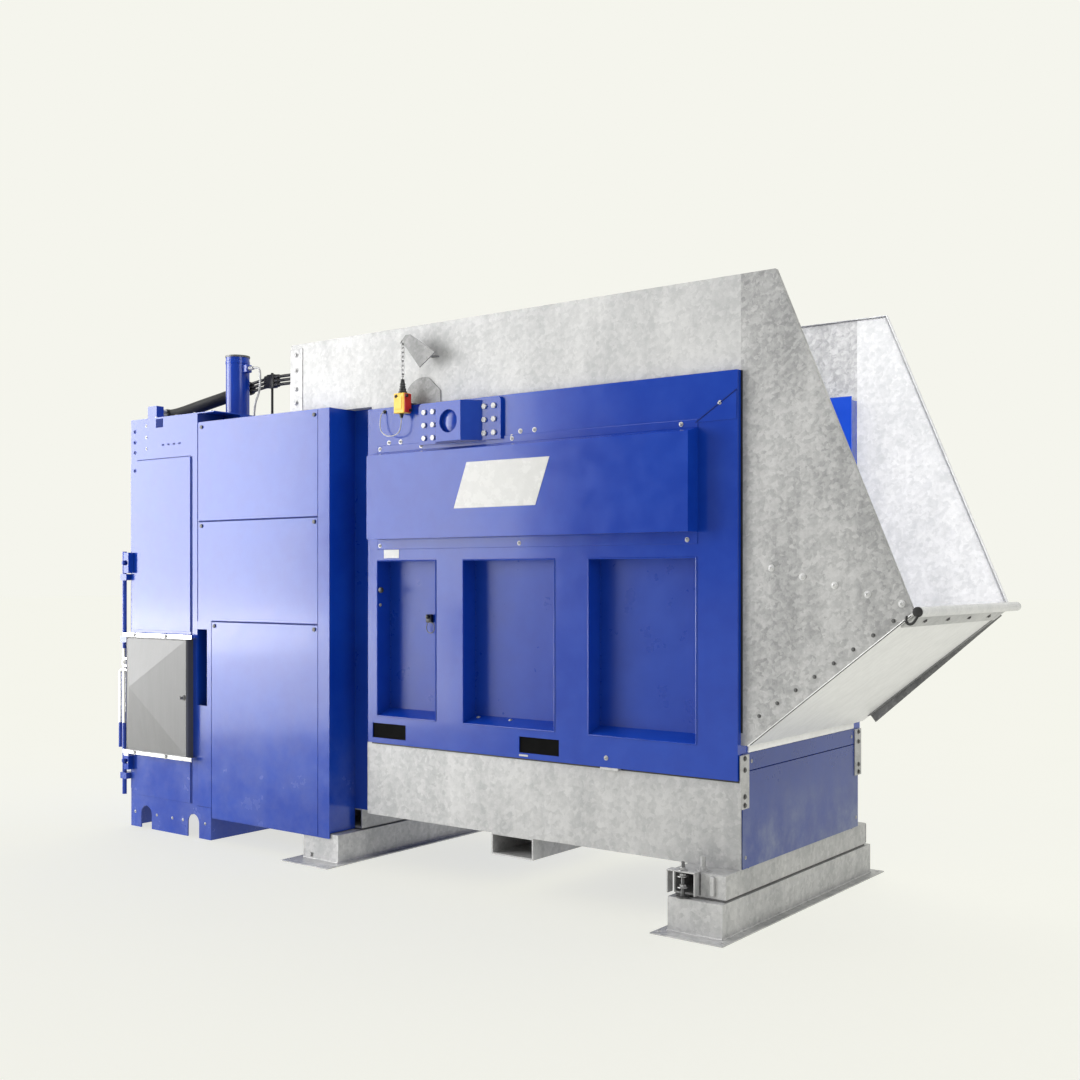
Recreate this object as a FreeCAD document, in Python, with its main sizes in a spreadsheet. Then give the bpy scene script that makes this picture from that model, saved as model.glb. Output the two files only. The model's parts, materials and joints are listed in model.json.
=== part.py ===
import FreeCAD, Part
import math
import os
import Sketcher
from types import SimpleNamespace

# Recycling baler: a swing-arm loader with a tipping hopper on the right (+X) pushes
# cardboard and film into an upright baling tower on the left (-X).
# Frame: origin on the floor under the middle of the machine, +X to the hopper mouth,
# -Y to the service side with the cabinet, +Z up. Millimetres.

os.makedirs("parts", exist_ok=True)
doc = FreeCAD.newDocument("recycling_baler")
V = FreeCAD.Vector

# ---------------------------------------------------------------- driving dimensions
SIZES = {
    # whole machine
    "body_end": 1805, "body_half": 645, "sheet": 4, "plate": 8, "skin": 6, "fit_gap": 0.3,
    # feet, cross members, fork channel
    "foot_width": 280, "foot_height": 160, "foot_wall": 8,
    "right_foot_length": 1630, "left_foot_length": 1530,
    "foot_plate_width": 370, "foot_plate_length": 1790, "foot_plate_thick": 6,
    "anchor_radius": 9, "anchor_inset_x": 23, "anchor_inset_y": 42,
    "left_foot_x": -785, "pad_width": 250, "pad_thick": 10,
    "cross_width": 265, "cross_height": 110, "right_cross_length": 1540,
    "left_cross_length": 1140,
    "level_radius": 12, "level_hole_radius": 14, "level_length": 175,
    "level_inset": 32, "level_nut_radius": 21, "level_nut_height": 19,
    "fork_channel_x": 495, "fork_channel_width": 270, "fork_channel_length": 1290,
    # side beams and blue side frames
    "beam_length": 2340, "beam_height": 400, "beam_flange": 60,
    "frame_length": 2306, "frame_top": 2530, "frame_gap": 6, "frame_face": 675,
    "wall_face": 575, "rear_recess_x": -1600, "rear_recess_width": 1000,
    "recess_bottom": 835, "recess_top": 1690,
    "recess_left_x": -429, "recess_left_width": 431,
    "recess_middle_x": 192, "recess_middle_width": 595,
    "recess_right_x": 992, "recess_right_width": 601,
    "fork_slot_bottom": 714, "fork_slot_height": 81, "fork_slot_width": 250,
    "fork_slot_left_x": -342, "fork_slot_right_x": 689,
    "cutout_left_x": -380, "cutout_length": 1940, "cutout_bottom": 1850, "cutout_top": 2270,
    # chamber
    "chamber_top": 2550, "trough_radius": 1910, "trough_edge_x": 1100,
    "trough_inlet_z": 838, "sill_z": 1100,
    # swing arm, shaft and bearings
    "shaft_x": 178, "shaft_z": 2409, "shaft_radius": 55, "shaft_length": 1512,
    "shaft_clearance": 7, "bearing_fit": 0.1,
    "block_root_half": 163, "block_tip_half": 83, "block_depth": 103, "block_bottom": 2306,
    "block_top": 2512, "block_recess_radius": 60, "block_recess_depth": 22,
    "flange_half": 282, "flange_thick": 20, "flange_top": 2526, "flange_round": 26,
    "flange_bolt_x": 177, "flange_bolt_gap": 63, "flange_bolt_rise": 69,
    "arm_tip_radius": 1880, "arm_width": 1100, "arm_plate": 20,
    "hub_radius": 95,
    "arm_foot_back": 60, "arm_foot_front": 90, "pusher_top_radius": 760,
    "lever_length": 380, "lever_thick": 30, "lever_y": 610, "lever_pin_radius": 20,
    "lever_boss_radius": 44, "lever_pin_length": 95,
    # drive cylinder under the cover
    "drive_y": 680, "yoke_thick": 40, "yoke_half": 74, "yoke_slot_half": 50,
    "yoke_bottom": 1985, "yoke_top": 2263, "yoke_end": 20, "drive_rod_radius": 28,
    "drive_barrel_radius": 55, "drive_bore_radius": 45, "drive_barrel_left_x": 640,
    "drive_barrel_length": 900, "gland_length": 30, "saddle_width": 60,
    "cover_left_x": -425, "cover_length": 2025, "cover_bottom": 1807, "cover_front_z": 2262,
    "cover_top": 2286, "cover_depth": 89, "cover_sheet": 3,
    # end panels and splice plates
    "end_panel_bottom": 285, "end_panel_top": 720, "end_strip_bottom": 725,
    "end_strip_top": 804, "end_panel_half": 637, "splice_bottom": 557, "splice_top": 800,
    "splice_width": 80, "splice_half": 667,
    # hopper and chute
    "hopper_top": 2962, "hopper_left_x": -1165, "hopper_post_width": 100,
    "hopper_post_top": 2935, "hem": 25, "mouth_top_x": 1975, "mouth_tip_x": 2600,
    "mouth_tip_z": 1457, "chute_foot_x": 1835, "chute_foot_z": 845, "mouth_return": 28,
    "chute_flange": 80, "chute_drop": 39, "lip_radius": 22, "lip_seat": 2.6, "lip_wall": 4, "lip_half": 658,
    # baling tower
    "tower_left": -2535, "tower_right": -1705, "base_right": -1735, "casing_right": -1865,
    "tower_face": 775,
    "base_height": 196, "arch_radius": 55, "arch_top": 143, "arch_left_x": -2375,
    "arch_right_x": -1903, "tower_top": 2610, "floor_thick": 30, "strap_groove_width": 24,
    "strap_groove_depth": 14, "strap_groove_pitch": 220, "mouth_top": 1940, "mouth_half": 540,
    "crosshead_width": 360, "crosshead_height": 250, "crosshead_wall": 20,
    "press_x": -2060, "press_y": 300, "press_stroke": 850, "barrel_radius": 76,
    "barrel_bore": 60, "barrel_bottom": 2050, "barrel_top": 3040, "barrel_gland": 40,
    "barrel_flange_radius": 112, "barrel_flange_thick": 20, "press_rod_radius": 40,
    "piston_height": 60, "piston_play": 0.5, "platen_face_z": 1960, "platen_plate": 30,
    "platen_height": 340, "platen_play": 12, "platen_wall": 12, "platen_web_y": 100,
    "manifold_x": -2470, "manifold_y": -640, "manifold_width": 90, "manifold_depth": 55,
    "manifold_height": 92, "apron_bottom": 2335,
    # bale door and its lock
    "door_gap": 2, "door_plate": 8, "door_bottom": 240, "door_top": 2330,
    "door_free_y": -770, "door_hinge_edge_y": 690, "rib_height": 90, "rib_depth": 50,
    "rib_wall": 6, "rib_free_y": -700, "rib_hinge_y": 640, "rib_pitch": 430,
    "rib_first_z": 330, "hinge_y": 735, "hinge_x_off": 25, "knuckle_radius": 20,
    "hinge_pin_radius": 10, "pin_fit": 0.05, "knuckle_half": 30, "hinge_half": 75,
    "hinge_pitch": 750, "hinge_first_z": 500, "leaf_width": 55,
    "lock_x_off": 50, "lock_y": 790, "lock_radius": 14, "lock_bottom": 200, "lock_top": 1765,
    "claw_length": 40, "claw_width": 24, "claw_thick": 20, "claw_play": 12,
    "claw_collar": 18, "keeper_gap": 6,
    "keeper_top_z": 1692, "keeper_top_height": 131, "keeper_mid_z": 1053,
    "keeper_mid_height": 60, "keeper_low_z": 415, "keeper_low_height": 103,
    "keeper_reach": 50, "keeper_depth": 37, "lug_height": 40,
    "lever_leg": 45, "lever_bend": 26, "lever_tube_radius": 11, "lever_top_z": 1002,
    "lever_long_z": 500,
    "lever_short_z": 725,
    # stainless hood
    "hood_left": -2512, "hood_right": -1905, "hood_bottom": 494, "hood_top": 1220,
    "hood_depth": 37, "hood_play": 2, "hood_knuckle": 6, "hood_hinge_in": 82,
    "hood_lid_edge": 12, "hood_peak": 62, "hood_peak_x": -2420,
    "hood_peak_z": 905, "rail_left": -2566, "rail_right": -1868, "rail_height": 24,
    "rail_thick": 6,
    # service cabinet
    "cabinet_right": -705, "cabinet_bottom": 135, "cabinet_floor": 165, "cabinet_top": 2550,
    "corner_width": 95,
    "panel_left": -1850, "low_panel_left": -1728, "seam_low": 1335, "seam_high": 1944,
    "panel_gap": 5, "panel_thick": 3, "panel_border": 18, "panel_inset": 6,
    "notch_bottom": 815, "notch_top": 1281, "notch_right": -1772,
    "lock_inset": 26, "turn_radius": 11, "turn_head": 7, "turn_stem_radius": 7,
    "turn_cam_length": 44, "turn_cam_width": 14, "turn_cam_thick": 3,
    "tank_left": -1640, "tank_length": 740, "tank_depth": 180, "tank_height": 420,
    "tank_wall": 4, "motor_radius": 80, "motor_length": 300,
    "pump_radius": 55, "pump_length": 150, "motor_feet": 24,
    # emergency pull switch, chain and hoses
    "switch_x": -200, "switch_y": -717, "switch_width": 82, "switch_depth": 55,
    "switch_bottom": 2482, "switch_height": 108, "switch_gland_radius": 15,
    "switch_gland_height": 78, "lead_radius": 3, "stem_radius": 4, "stem_depth": 30,
    "eye_z": 2866,
    "holder_reach": 212, "holder_shoulder": 60, "holder_crown_x": 130, "holder_height": 135,
    "holder_round": 140, "web_foot_x": 150, "web_foot_drop": 90, "web_foot_width": 50,
    "eye_boss": 16, "eye_radius": 8, "hanger_thick": 6, "hang_play": 1.5,
    "chain_wire": 5, "chain_pitch": 24, "chain_half": 8, "chain_links": 7,
    "hose_radius": 10, "hose_pitch": 26, "post_radius": 8,
    # screws
    "bolt_radius": 15, "bolt_head": 10,
}


class Size:
    """A length that keeps its number together with the sheet formula behind it."""

    def __init__(self, value, text):
        self.value = value
        self.text = text

    def _join(self, other, sign, value, swap=False):
        left, right = (other, self) if swap else (self, other)
        return Size(value, f"({left.text} {sign} {right.text})")

    def __add__(self, other):
        other = as_size(other)
        return self._join(other, "+", self.value + other.value)

    def __radd__(self, other):
        return as_size(other) + self

    def __sub__(self, other):
        other = as_size(other)
        return self._join(other, "-", self.value - other.value)

    def __rsub__(self, other):
        return as_size(other) - self

    def __mul__(self, other):
        other = as_size(other)
        return self._join(other, "*", self.value * other.value)

    def __rmul__(self, other):
        return as_size(other) * self

    def __truediv__(self, other):
        other = as_size(other)
        return self._join(other, "/", self.value / other.value)

    def __neg__(self):
        return Size(-self.value, f"(0 - {self.text})")


def as_size(value):
    return value if isinstance(value, Size) else Size(value, f"({value})")


def root(size):
    return Size(math.sqrt(size.value), f"sqrt({size.text})")


def fill_sheet():
    """Write every size and its alias to the sheet and return them as Size objects."""
    sheet = doc.addObject("Spreadsheet::Sheet", "Sheet")
    for row, (name, value) in enumerate(SIZES.items(), start=1):
        sheet.set(f"A{row}", name)
        sheet.set(f"B{row}", str(value))
        sheet.setAlias(f"B{row}", name)
    doc.recompute()
    return SimpleNamespace(**{n: Size(float(v), f"Sheet.{n}") for n, v in SIZES.items()})


d = fill_sheet()
n = SimpleNamespace(**{name: float(value) for name, value in SIZES.items()})

# ---------------------------------------------------------------- modelling helpers
NODES = []


def keep(obj, label):
    """Give a finished sub-part its name and list it for export."""
    obj.Label = label
    NODES.append(obj)
    return obj


def bind(obj, prop, value):
    obj.setExpression(prop, as_size(value).text)


def place(obj, x=0, y=0, z=0):
    for axis, value in zip("xyz", (x, y, z)):
        bind(obj, f"Placement.Base.{axis}", value)
    return obj


def new_body(name, x=0, y=0, z=0):
    return place(doc.addObject("PartDesign::Body", name), x, y, z)


def new_sketch(body, plane, height=0):
    """A sketch on one origin plane of its body; XZ looks towards -Y, YZ towards +X."""
    sketch = body.newObject("Sketcher::SketchObject", f"{body.Name}_{plane}")
    role = f"{plane}_Plane"
    sketch.AttachmentSupport = [(f, "") for f in body.Origin.OriginFeatures if f.Role == role]
    sketch.MapMode = "FlatFace"
    bind(sketch, "AttachmentOffset.Base.z", height)
    return sketch


def outline(sketch, corners):
    """Closed outline; a corner is (u, v), or (u, v, r) where an arc of radius r leaves it.

    A positive r turns anticlockwise, a negative one clockwise.
    """
    first = sketch.GeometryCount
    points = [(as_size(c[0]), as_size(c[1])) for c in corners]
    count = len(points)
    edges, ends = [], []
    for i, corner in enumerate(corners):
        a = V(points[i][0].value, points[i][1].value, 0)
        b = V(points[(i + 1) % count][0].value, points[(i + 1) % count][1].value, 0)
        if len(corner) == 2:
            edges.append(Part.LineSegment(a, b))
            ends.append((1, 2))
            continue
        radius = as_size(corner[2]).value
        chord = b - a
        across = V(-chord.y, chord.x, 0).normalize()
        height = math.sqrt(max(radius ** 2 - (chord.Length / 2) ** 2, 0))
        centre = (a + b) / 2 + across * math.copysign(height, radius)
        start, end = (a, b) if radius > 0 else (b, a)
        angles = [math.atan2(p.y - centre.y, p.x - centre.x) for p in (start, end)]
        if angles[1] <= angles[0]:
            angles[1] += 2 * math.pi
        circle = Part.Circle(centre, V(0, 0, 1), abs(radius))
        edges.append(Part.ArcOfCircle(circle, angles[0], angles[1]))
        ends.append((1, 2) if radius > 0 else (2, 1))
    sketch.addGeometry(edges, False)
    rules, formulas = [], []
    for i in range(count):
        j = (i + 1) % count
        rules.append(Sketcher.Constraint("Coincident", first + i, ends[i][1], first + j, ends[j][0]))
    for i, (u, v) in enumerate(points):
        for kind, size in (("DistanceX", u), ("DistanceY", v)):
            formulas.append((len(rules), size))
            rules.append(Sketcher.Constraint(kind, first + i, ends[i][0], size.value))
    for i, corner in enumerate(corners):
        if len(corner) == 3:
            radius = as_size(corner[2])
            radius = radius if radius.value > 0 else -radius
            formulas.append((len(rules), radius))
            rules.append(Sketcher.Constraint("Radius", first + i, radius.value))
    base = sketch.ConstraintCount
    sketch.addConstraint(rules)
    for index, size in formulas:
        bind(sketch, f"Constraints[{base + index}]", size)


def rectangle(sketch, left, low, right, high):
    outline(sketch, [(left, low), (right, low), (right, high), (left, high)])


def ring(sketch, left, low, right, high, wall):
    """A rectangular tube's section: outer outline with an inner one a wall inside it."""
    rectangle(sketch, left, low, right, high)
    rectangle(sketch, left + wall, low + wall, right - wall, high - wall)


def circle(sketch, u, v, radius):
    u, v, radius = as_size(u), as_size(v), as_size(radius)
    index = sketch.GeometryCount
    base = sketch.ConstraintCount
    sketch.addGeometry(Part.Circle(V(u.value, v.value, 0), V(0, 0, 1), radius.value), False)
    sketch.addConstraint([
        Sketcher.Constraint("DistanceX", index, 3, u.value),
        Sketcher.Constraint("DistanceY", index, 3, v.value),
        Sketcher.Constraint("Radius", index, radius.value)])
    for offset, size in enumerate((u, v, radius)):
        bind(sketch, f"Constraints[{base + offset}]", size)


def pad(body, sketch, length, back=False):
    made = body.newObject("PartDesign::Pad", "Pad")
    made.Profile = sketch
    made.Reversed = back
    bind(made, "Length", length)
    sketch.Visibility = False
    return made


def pocket(body, sketch, length=None, back=False, both=False):
    made = body.newObject("PartDesign::Pocket", "Pocket")
    made.Profile = sketch
    made.Reversed = back
    made.Midplane = both
    if length is None:
        made.Type = "ThroughAll"
    else:
        bind(made, "Length", length)
    return made


def box(x, y, z, dx, dy, dz):
    made = doc.addObject("Part::Box", "Box")
    for prop, size in (("Length", dx), ("Width", dy), ("Height", dz)):
        bind(made, prop, size)
    return place(made, x, y, z)


TURNS = {"x": FreeCAD.Rotation(V(0, 1, 0), 90), "y": FreeCAD.Rotation(V(1, 0, 0), -90),
         "z": FreeCAD.Rotation()}


def rod(axis, x, y, z, radius, length):
    """A cylinder that starts at the given point and runs along +X, +Y or +Z."""
    made = doc.addObject("Part::Cylinder", "Cylinder")
    made.Placement.Rotation = TURNS[axis]
    bind(made, "Radius", radius)
    bind(made, "Height", length)
    return place(made, x, y, z)


def hexagon(axis, x, y, z, radius, length):
    """A hexagon head that starts at the given point and runs along +X, +Y or +Z."""
    made = doc.addObject("Part::Prism", "Hexagon")
    made.Polygon = 6
    made.Placement.Rotation = TURNS[axis]
    bind(made, "Circumradius", radius)
    bind(made, "Height", length)
    return place(made, x, y, z)


def join(*pieces):
    made = doc.addObject("Part::MultiFuse", "Join")
    made.Shapes = list(pieces)
    return made


def cut(base, *tools):
    made = doc.addObject("Part::Cut", "Cut")
    made.Base = base
    made.Tool = tools[0] if len(tools) == 1 else join(*tools)
    return made


def gather(pieces, label):
    """Separate solids that share one node."""
    made = doc.addObject("Part::Compound", label)
    made.Links = pieces
    return keep(made, label)


def feature(name, shape):
    made = doc.addObject("Part::Feature", name)
    made.Shape = shape
    return made


def tube_path(points, bends):
    """Straight runs joined by tangent arcs, one bend radius for each corner."""
    edges = []
    last = points[0]
    for before, here, after, radius in zip(points, points[1:], points[2:], bends):
        arrive = (here - before).normalize()
        leave = (after - here).normalize()
        turn = arrive.getAngle(leave)
        setback = radius * math.tan(turn / 2)
        start, end = here - arrive * setback, here + leave * setback
        bisector = (leave - arrive).normalize()
        middle = here + bisector * (radius / math.cos(turn / 2) - radius)
        edges.append(Part.LineSegment(last, start).toShape())
        edges.append(Part.Arc(start, middle, end).toShape())
        last = end
    edges.append(Part.LineSegment(last, points[-1]).toShape())
    return Part.Wire(edges)


def round_tube(points, radius, bends):
    path = tube_path(points, bends)
    start = path.Edges[0]
    direction = start.tangentAt(start.FirstParameter)
    section_ring = Part.Wire(Part.makeCircle(radius, points[0], direction))
    return path, path.makePipeShell([section_ring], True, True)


def easy_bends(points):
    """The largest bend that leaves a tenth of each straight run between its two arcs."""
    bends = []
    for before, here, after in zip(points, points[1:], points[2:]):
        run = min((here - before).Length, (after - here).Length)
        turn = (here - before).getAngle(after - here)
        bends.append(0.45 * run / math.tan(turn / 2))
    return bends


SIDES = (("front", -1), ("rear", 1))


def sheet_y(side, face, thick):
    """Placement of a sheet on side -1 or +1 with its outer face `face` from the middle."""
    return face if side > 0 else thick - face


# ---------------------------------------------------------------- derived places
cross_bottom = d.foot_height + d.pad_thick
cross_top = cross_bottom + d.cross_height
beam_left = d.body_end - d.beam_length
beam_top = cross_top + d.beam_height
frame_left = d.body_end - d.frame_length
frame_bottom = beam_top + d.frame_gap
liner = d.wall_face - d.plate
frame_depth = d.frame_face - d.wall_face
roof_z = d.tower_top - d.skin
tower_inner = d.tower_right - d.plate


# ---------------------------------------------------------------- feet and chassis
def foot(label, centre, length):
    body = new_body(label, centre, 0, 0)
    base = new_sketch(body, "XY")
    rectangle(base, -d.foot_plate_width / 2, -d.foot_plate_length / 2,
              d.foot_plate_width / 2, d.foot_plate_length / 2)
    for sx in (-1, 1):
        for sy in (-1, 1):
            circle(base, sx * (d.foot_plate_width / 2 - d.anchor_inset_x),
                   sy * (d.foot_plate_length / 2 - d.anchor_inset_y), d.anchor_radius)
    pad(body, base, d.foot_plate_thick)
    hat = new_sketch(body, "XY", d.foot_plate_thick)
    rectangle(hat, -d.foot_width / 2, -length / 2, d.foot_width / 2, length / 2)
    pad(body, hat, d.foot_height - d.foot_plate_thick)
    hollow = new_sketch(body, "XY")
    rectangle(hollow, d.foot_wall - d.foot_width / 2, d.foot_wall - length / 2,
              d.foot_width / 2 - d.foot_wall, length / 2 - d.foot_wall)
    pocket(body, hollow, d.foot_height - d.foot_wall, back=True)
    keep(body, label)


right_foot_x = d.body_end - d.foot_width / 2
foot("foot_left", d.left_foot_x, d.left_foot_length)
foot("foot_right", right_foot_x, d.right_foot_length)
CROSS_MEMBERS = ((d.left_foot_x, d.left_cross_length), (right_foot_x, d.right_cross_length))
gather([box(x - d.pad_width / 2, -length / 2, d.foot_height, d.pad_width, length, d.pad_thick)
        for x, length in CROSS_MEMBERS], "foot_pads")


def cross_member(centre, length):
    """Rectangular tube across the machine, drilled at both ends for the levelling screws."""
    body = new_body("cross_member", centre, length / 2, cross_bottom)
    section = new_sketch(body, "XZ")
    ring(section, -d.cross_width / 2, 0, d.cross_width / 2, d.cross_height, d.foot_wall)
    pad(body, section, length)
    holes = new_sketch(body, "XY")
    for end in (-d.level_inset, d.level_inset - length):
        circle(holes, 0, end, d.level_hole_radius)
    pocket(body, holes, back=True)
    return body


gather([cross_member(x, length) for x, length in CROSS_MEMBERS], "cross_members")

fork_channel = new_body("fork_channel", d.fork_channel_x, d.fork_channel_length / 2, cross_bottom)
section = new_sketch(fork_channel, "XZ")
ring(section, -d.fork_channel_width / 2, 0, d.fork_channel_width / 2, d.cross_height, d.plate)
pad(fork_channel, section, d.fork_channel_length)
keep(fork_channel, "fork_channel")

for name, side in SIDES:
    beam = new_body(f"beam_{name}", beam_left, 0, cross_top)
    section = new_sketch(beam, "YZ")
    web, tip = side * d.body_half, side * (d.body_half - d.beam_flange)
    inner = side * (d.body_half - d.plate)
    outline(section, [(web, 0), (tip, 0), (tip, d.plate), (inner, d.plate),
                      (inner, d.beam_height - d.plate), (tip, d.beam_height - d.plate),
                      (tip, d.beam_height), (web, d.beam_height)])
    pad(beam, section, d.beam_length)
    keep(beam, f"beam_{name}")

# ---------------------------------------------------------------- blue side frames
RECESSES = ((d.recess_left_x, d.recess_left_width),
            (d.recess_middle_x, d.recess_middle_width),
            (d.recess_right_x, d.recess_right_width))

REAR_RECESSES = RECESSES + ((d.rear_recess_x, d.rear_recess_width),)

for name, side in SIDES:
    body = new_body(f"side_frame_{name}", 0, side * d.wall_face, 0)
    back = side > 0
    left = d.tower_right if back else frame_left
    recesses = REAR_RECESSES if back else RECESSES
    front = new_sketch(body, "XZ", -side * (frame_depth - d.plate))
    rectangle(front, left, frame_bottom, d.body_end, d.frame_top)
    for x, width in recesses:
        rectangle(front, x, d.recess_bottom, x + width, d.recess_top)
    for x in (d.fork_slot_left_x, d.fork_slot_right_x):
        rectangle(front, x - d.fork_slot_width / 2, d.fork_slot_bottom,
                  x + d.fork_slot_width / 2, d.fork_slot_bottom + d.fork_slot_height)
    circle(front, d.shaft_x, d.shaft_z, d.shaft_radius + d.shaft_clearance)
    if side < 0:
        rectangle(front, d.cutout_left_x, d.cutout_bottom,
                  d.cutout_left_x + d.cutout_length, d.cutout_top)
    pad(body, front, d.plate, back=back)
    rim = new_sketch(body, "XZ")
    ring(rim, left, frame_bottom, d.body_end, d.frame_top, d.skin)
    for x, width in recesses:
        ring(rim, x - d.skin, d.recess_bottom - d.skin, x + width + d.skin,
             d.recess_top + d.skin, d.skin)
    pad(body, rim, frame_depth - d.plate, back=back)
    keep(body, f"side_frame_{name}")

# ---------------------------------------------------------------- chamber
for name, side in SIDES:
    body = new_body(f"chamber_wall_{name}", 0, sheet_y(side, d.wall_face, d.plate), 0)
    wall = new_sketch(body, "XZ")
    rectangle(wall, d.tower_right, cross_top, d.body_end, d.chamber_top)
    circle(wall, d.shaft_x, d.shaft_z, d.shaft_radius + d.shaft_clearance)
    pad(body, wall, d.plate)
    keep(body, f"chamber_wall_{name}")


def drop(x, radius):
    """Height of a circle about the shaft, below the shaft, at the given x."""
    across = x - d.shaft_x
    return d.shaft_z - root(radius * radius - across * across)


def reach(z, radius):
    """Left-hand x of a circle about the shaft at the given height."""
    down = d.shaft_z - z
    return d.shaft_x - root(radius * radius - down * down)


outer_radius = d.trough_radius + d.plate
sill_bottom = d.sill_z - d.plate
trough = new_body("trough_floor", 0, liner, 0)
curve = new_sketch(trough, "XZ")
outline(curve, [
    (d.body_end, d.trough_inlet_z),
    (d.trough_edge_x, drop(d.trough_edge_x, d.trough_radius), -d.trough_radius),
    (reach(d.sill_z, d.trough_radius), d.sill_z),
    (d.tower_right, d.sill_z),
    (d.tower_right, sill_bottom),
    (reach(sill_bottom, outer_radius), sill_bottom, outer_radius),
    (d.trough_edge_x, drop(d.trough_edge_x, outer_radius)),
    (d.body_end, d.trough_inlet_z - d.plate)])
pad(trough, curve, 2 * liner)
keep(trough, "trough_floor")

# ---------------------------------------------------------------- end of the loader
gather([box(d.body_end, -d.end_panel_half, low, d.skin, 2 * d.end_panel_half, high - low)
        for low, high in ((d.end_panel_bottom, d.end_panel_top),
                          (d.end_strip_bottom, d.end_strip_top))], "end_panels")

gather([box(d.body_end + d.skin, side * d.splice_half - (d.splice_width if side > 0 else 0),
            d.splice_bottom, d.skin, d.splice_width, d.splice_top - d.splice_bottom)
        for name, side in SIDES], "splice_plates")

# ---------------------------------------------------------------- hopper
hopper_side_left = d.hopper_left_x + d.sheet
for name, side in SIDES:
    body = new_body(f"hopper_side_{name}", 0, 0, 0)
    back = side > 0
    out = -side
    web = new_sketch(body, "XZ", out * (d.body_half - d.sheet))
    low = d.frame_top if back else d.chamber_top
    outline(web, [(hopper_side_left, low), (frame_left, low),
                  (frame_left, d.frame_top), (d.body_end, d.frame_top),
                  (d.body_end, d.hopper_top), (hopper_side_left, d.hopper_top)]
            if not back else
            [(hopper_side_left, low), (d.body_end, low),
             (d.body_end, d.hopper_top), (hopper_side_left, d.hopper_top)])
    pad(body, web, d.sheet, back=back)
    hem = new_sketch(body, "XZ", out * (d.body_half - d.hem))
    rectangle(hem, hopper_side_left, d.hopper_top - d.sheet, d.body_end, d.hopper_top)
    pad(body, hem, d.hem - d.sheet, back=back)
    if not back:
        shelf = new_sketch(body, "XZ", liner)
        rectangle(shelf, hopper_side_left, d.chamber_top, frame_left, d.chamber_top + d.sheet)
        pad(body, shelf, d.body_half - d.sheet - liner)
    keep(body, f"hopper_side_{name}")

hopper_end = new_body("hopper_end", 0, d.body_half, 0)
fold = new_sketch(hopper_end, "XZ")
outline(fold, [(d.tower_right, d.chamber_top), (hopper_side_left, d.chamber_top),
               (hopper_side_left, d.hopper_post_top), (d.hopper_left_x, d.hopper_post_top),
               (d.hopper_left_x, d.chamber_top + d.sheet),
               (d.tower_right, d.chamber_top + d.sheet)])
pad(hopper_end, fold, 2 * d.body_half)
for start in (-d.sheet, 2 * d.body_half):
    post = new_sketch(hopper_end, "XZ", start)
    rectangle(post, d.hopper_left_x, d.chamber_top,
              d.hopper_left_x + d.hopper_post_width, d.hopper_post_top)
    pad(hopper_end, post, d.sheet)
keep(hopper_end, "hopper_end")


def strip_along(sketch, x0, z0, x1, z1, across):
    """A thin strip from (x0, z0) to (x1, z1), `across` wide on its left-hand side."""
    run_x, run_z = x1 - x0, z1 - z0
    length = root(run_x * run_x + run_z * run_z)
    off_x, off_z = -across * run_z / length, across * run_x / length
    outline(sketch, [(x0, z0), (x1, z1), (x1 + off_x, z1 + off_z), (x0 + off_x, z0 + off_z)])


for name, side in SIDES:
    body = new_body(f"chute_side_{name}", 0, 0, 0)
    back = side > 0
    out = -side
    web = new_sketch(body, "XZ", out * (d.body_half - d.sheet))
    outline(web, [(d.body_end, d.chute_foot_z), (d.chute_foot_x, d.chute_foot_z),
                  (d.mouth_tip_x, d.mouth_tip_z), (d.mouth_top_x, d.hopper_top),
                  (d.body_end, d.hopper_top)])
    pad(body, web, d.sheet, back=back)
    edge = new_sketch(body, "XZ", out * (d.body_half - d.mouth_return))
    strip_along(edge, d.mouth_tip_x, d.mouth_tip_z, d.mouth_top_x, d.hopper_top, d.sheet)
    pad(body, edge, d.mouth_return - d.sheet, back=back)
    hem = new_sketch(body, "XZ", out * (d.body_half - d.hem))
    rectangle(hem, d.body_end, d.hopper_top - d.sheet, d.mouth_top_x - 2 * d.sheet, d.hopper_top)
    pad(body, hem, d.hem - d.sheet, back=back)
    keep(body, f"chute_side_{name}")

chute_half = d.body_half - d.sheet
chute = new_body("chute_floor", 0, chute_half, 0)
floor = new_sketch(chute, "XZ")
strip_along(floor, d.mouth_tip_x, d.mouth_tip_z, d.chute_foot_x, d.chute_foot_z, d.sheet)
pad(chute, floor, 2 * chute_half)
rise = (d.mouth_tip_z - d.chute_foot_z) / (d.mouth_tip_x - d.chute_foot_x)
for start in (0, 2 * chute_half - d.sheet):
    upstand = new_sketch(chute, "XZ", start)
    strip_along(upstand, d.chute_foot_x + d.chute_flange,
                d.chute_foot_z + d.chute_flange * rise, d.mouth_tip_x - d.chute_flange,
                d.mouth_tip_z - d.chute_flange * rise, d.chute_flange)
    pad(chute, upstand, d.sheet)
foot_fold = new_sketch(chute, "XZ", d.body_half - d.splice_half + d.splice_width)
fold_x = d.body_end + d.skin
outline(foot_fold, [(d.body_end, d.chute_foot_z), (d.body_end, d.chute_foot_z - d.chute_drop),
                    (fold_x, d.chute_foot_z - d.chute_drop), (fold_x, d.chute_foot_z - d.sheet),
                    (d.chute_foot_x + d.sheet, d.chute_foot_z - d.sheet),
                    (d.chute_foot_x, d.chute_foot_z)])
pad(chute, foot_fold, 2 * (d.splice_half - d.splice_width) - 2 * d.sheet)
keep(chute, "chute_floor")

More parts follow.
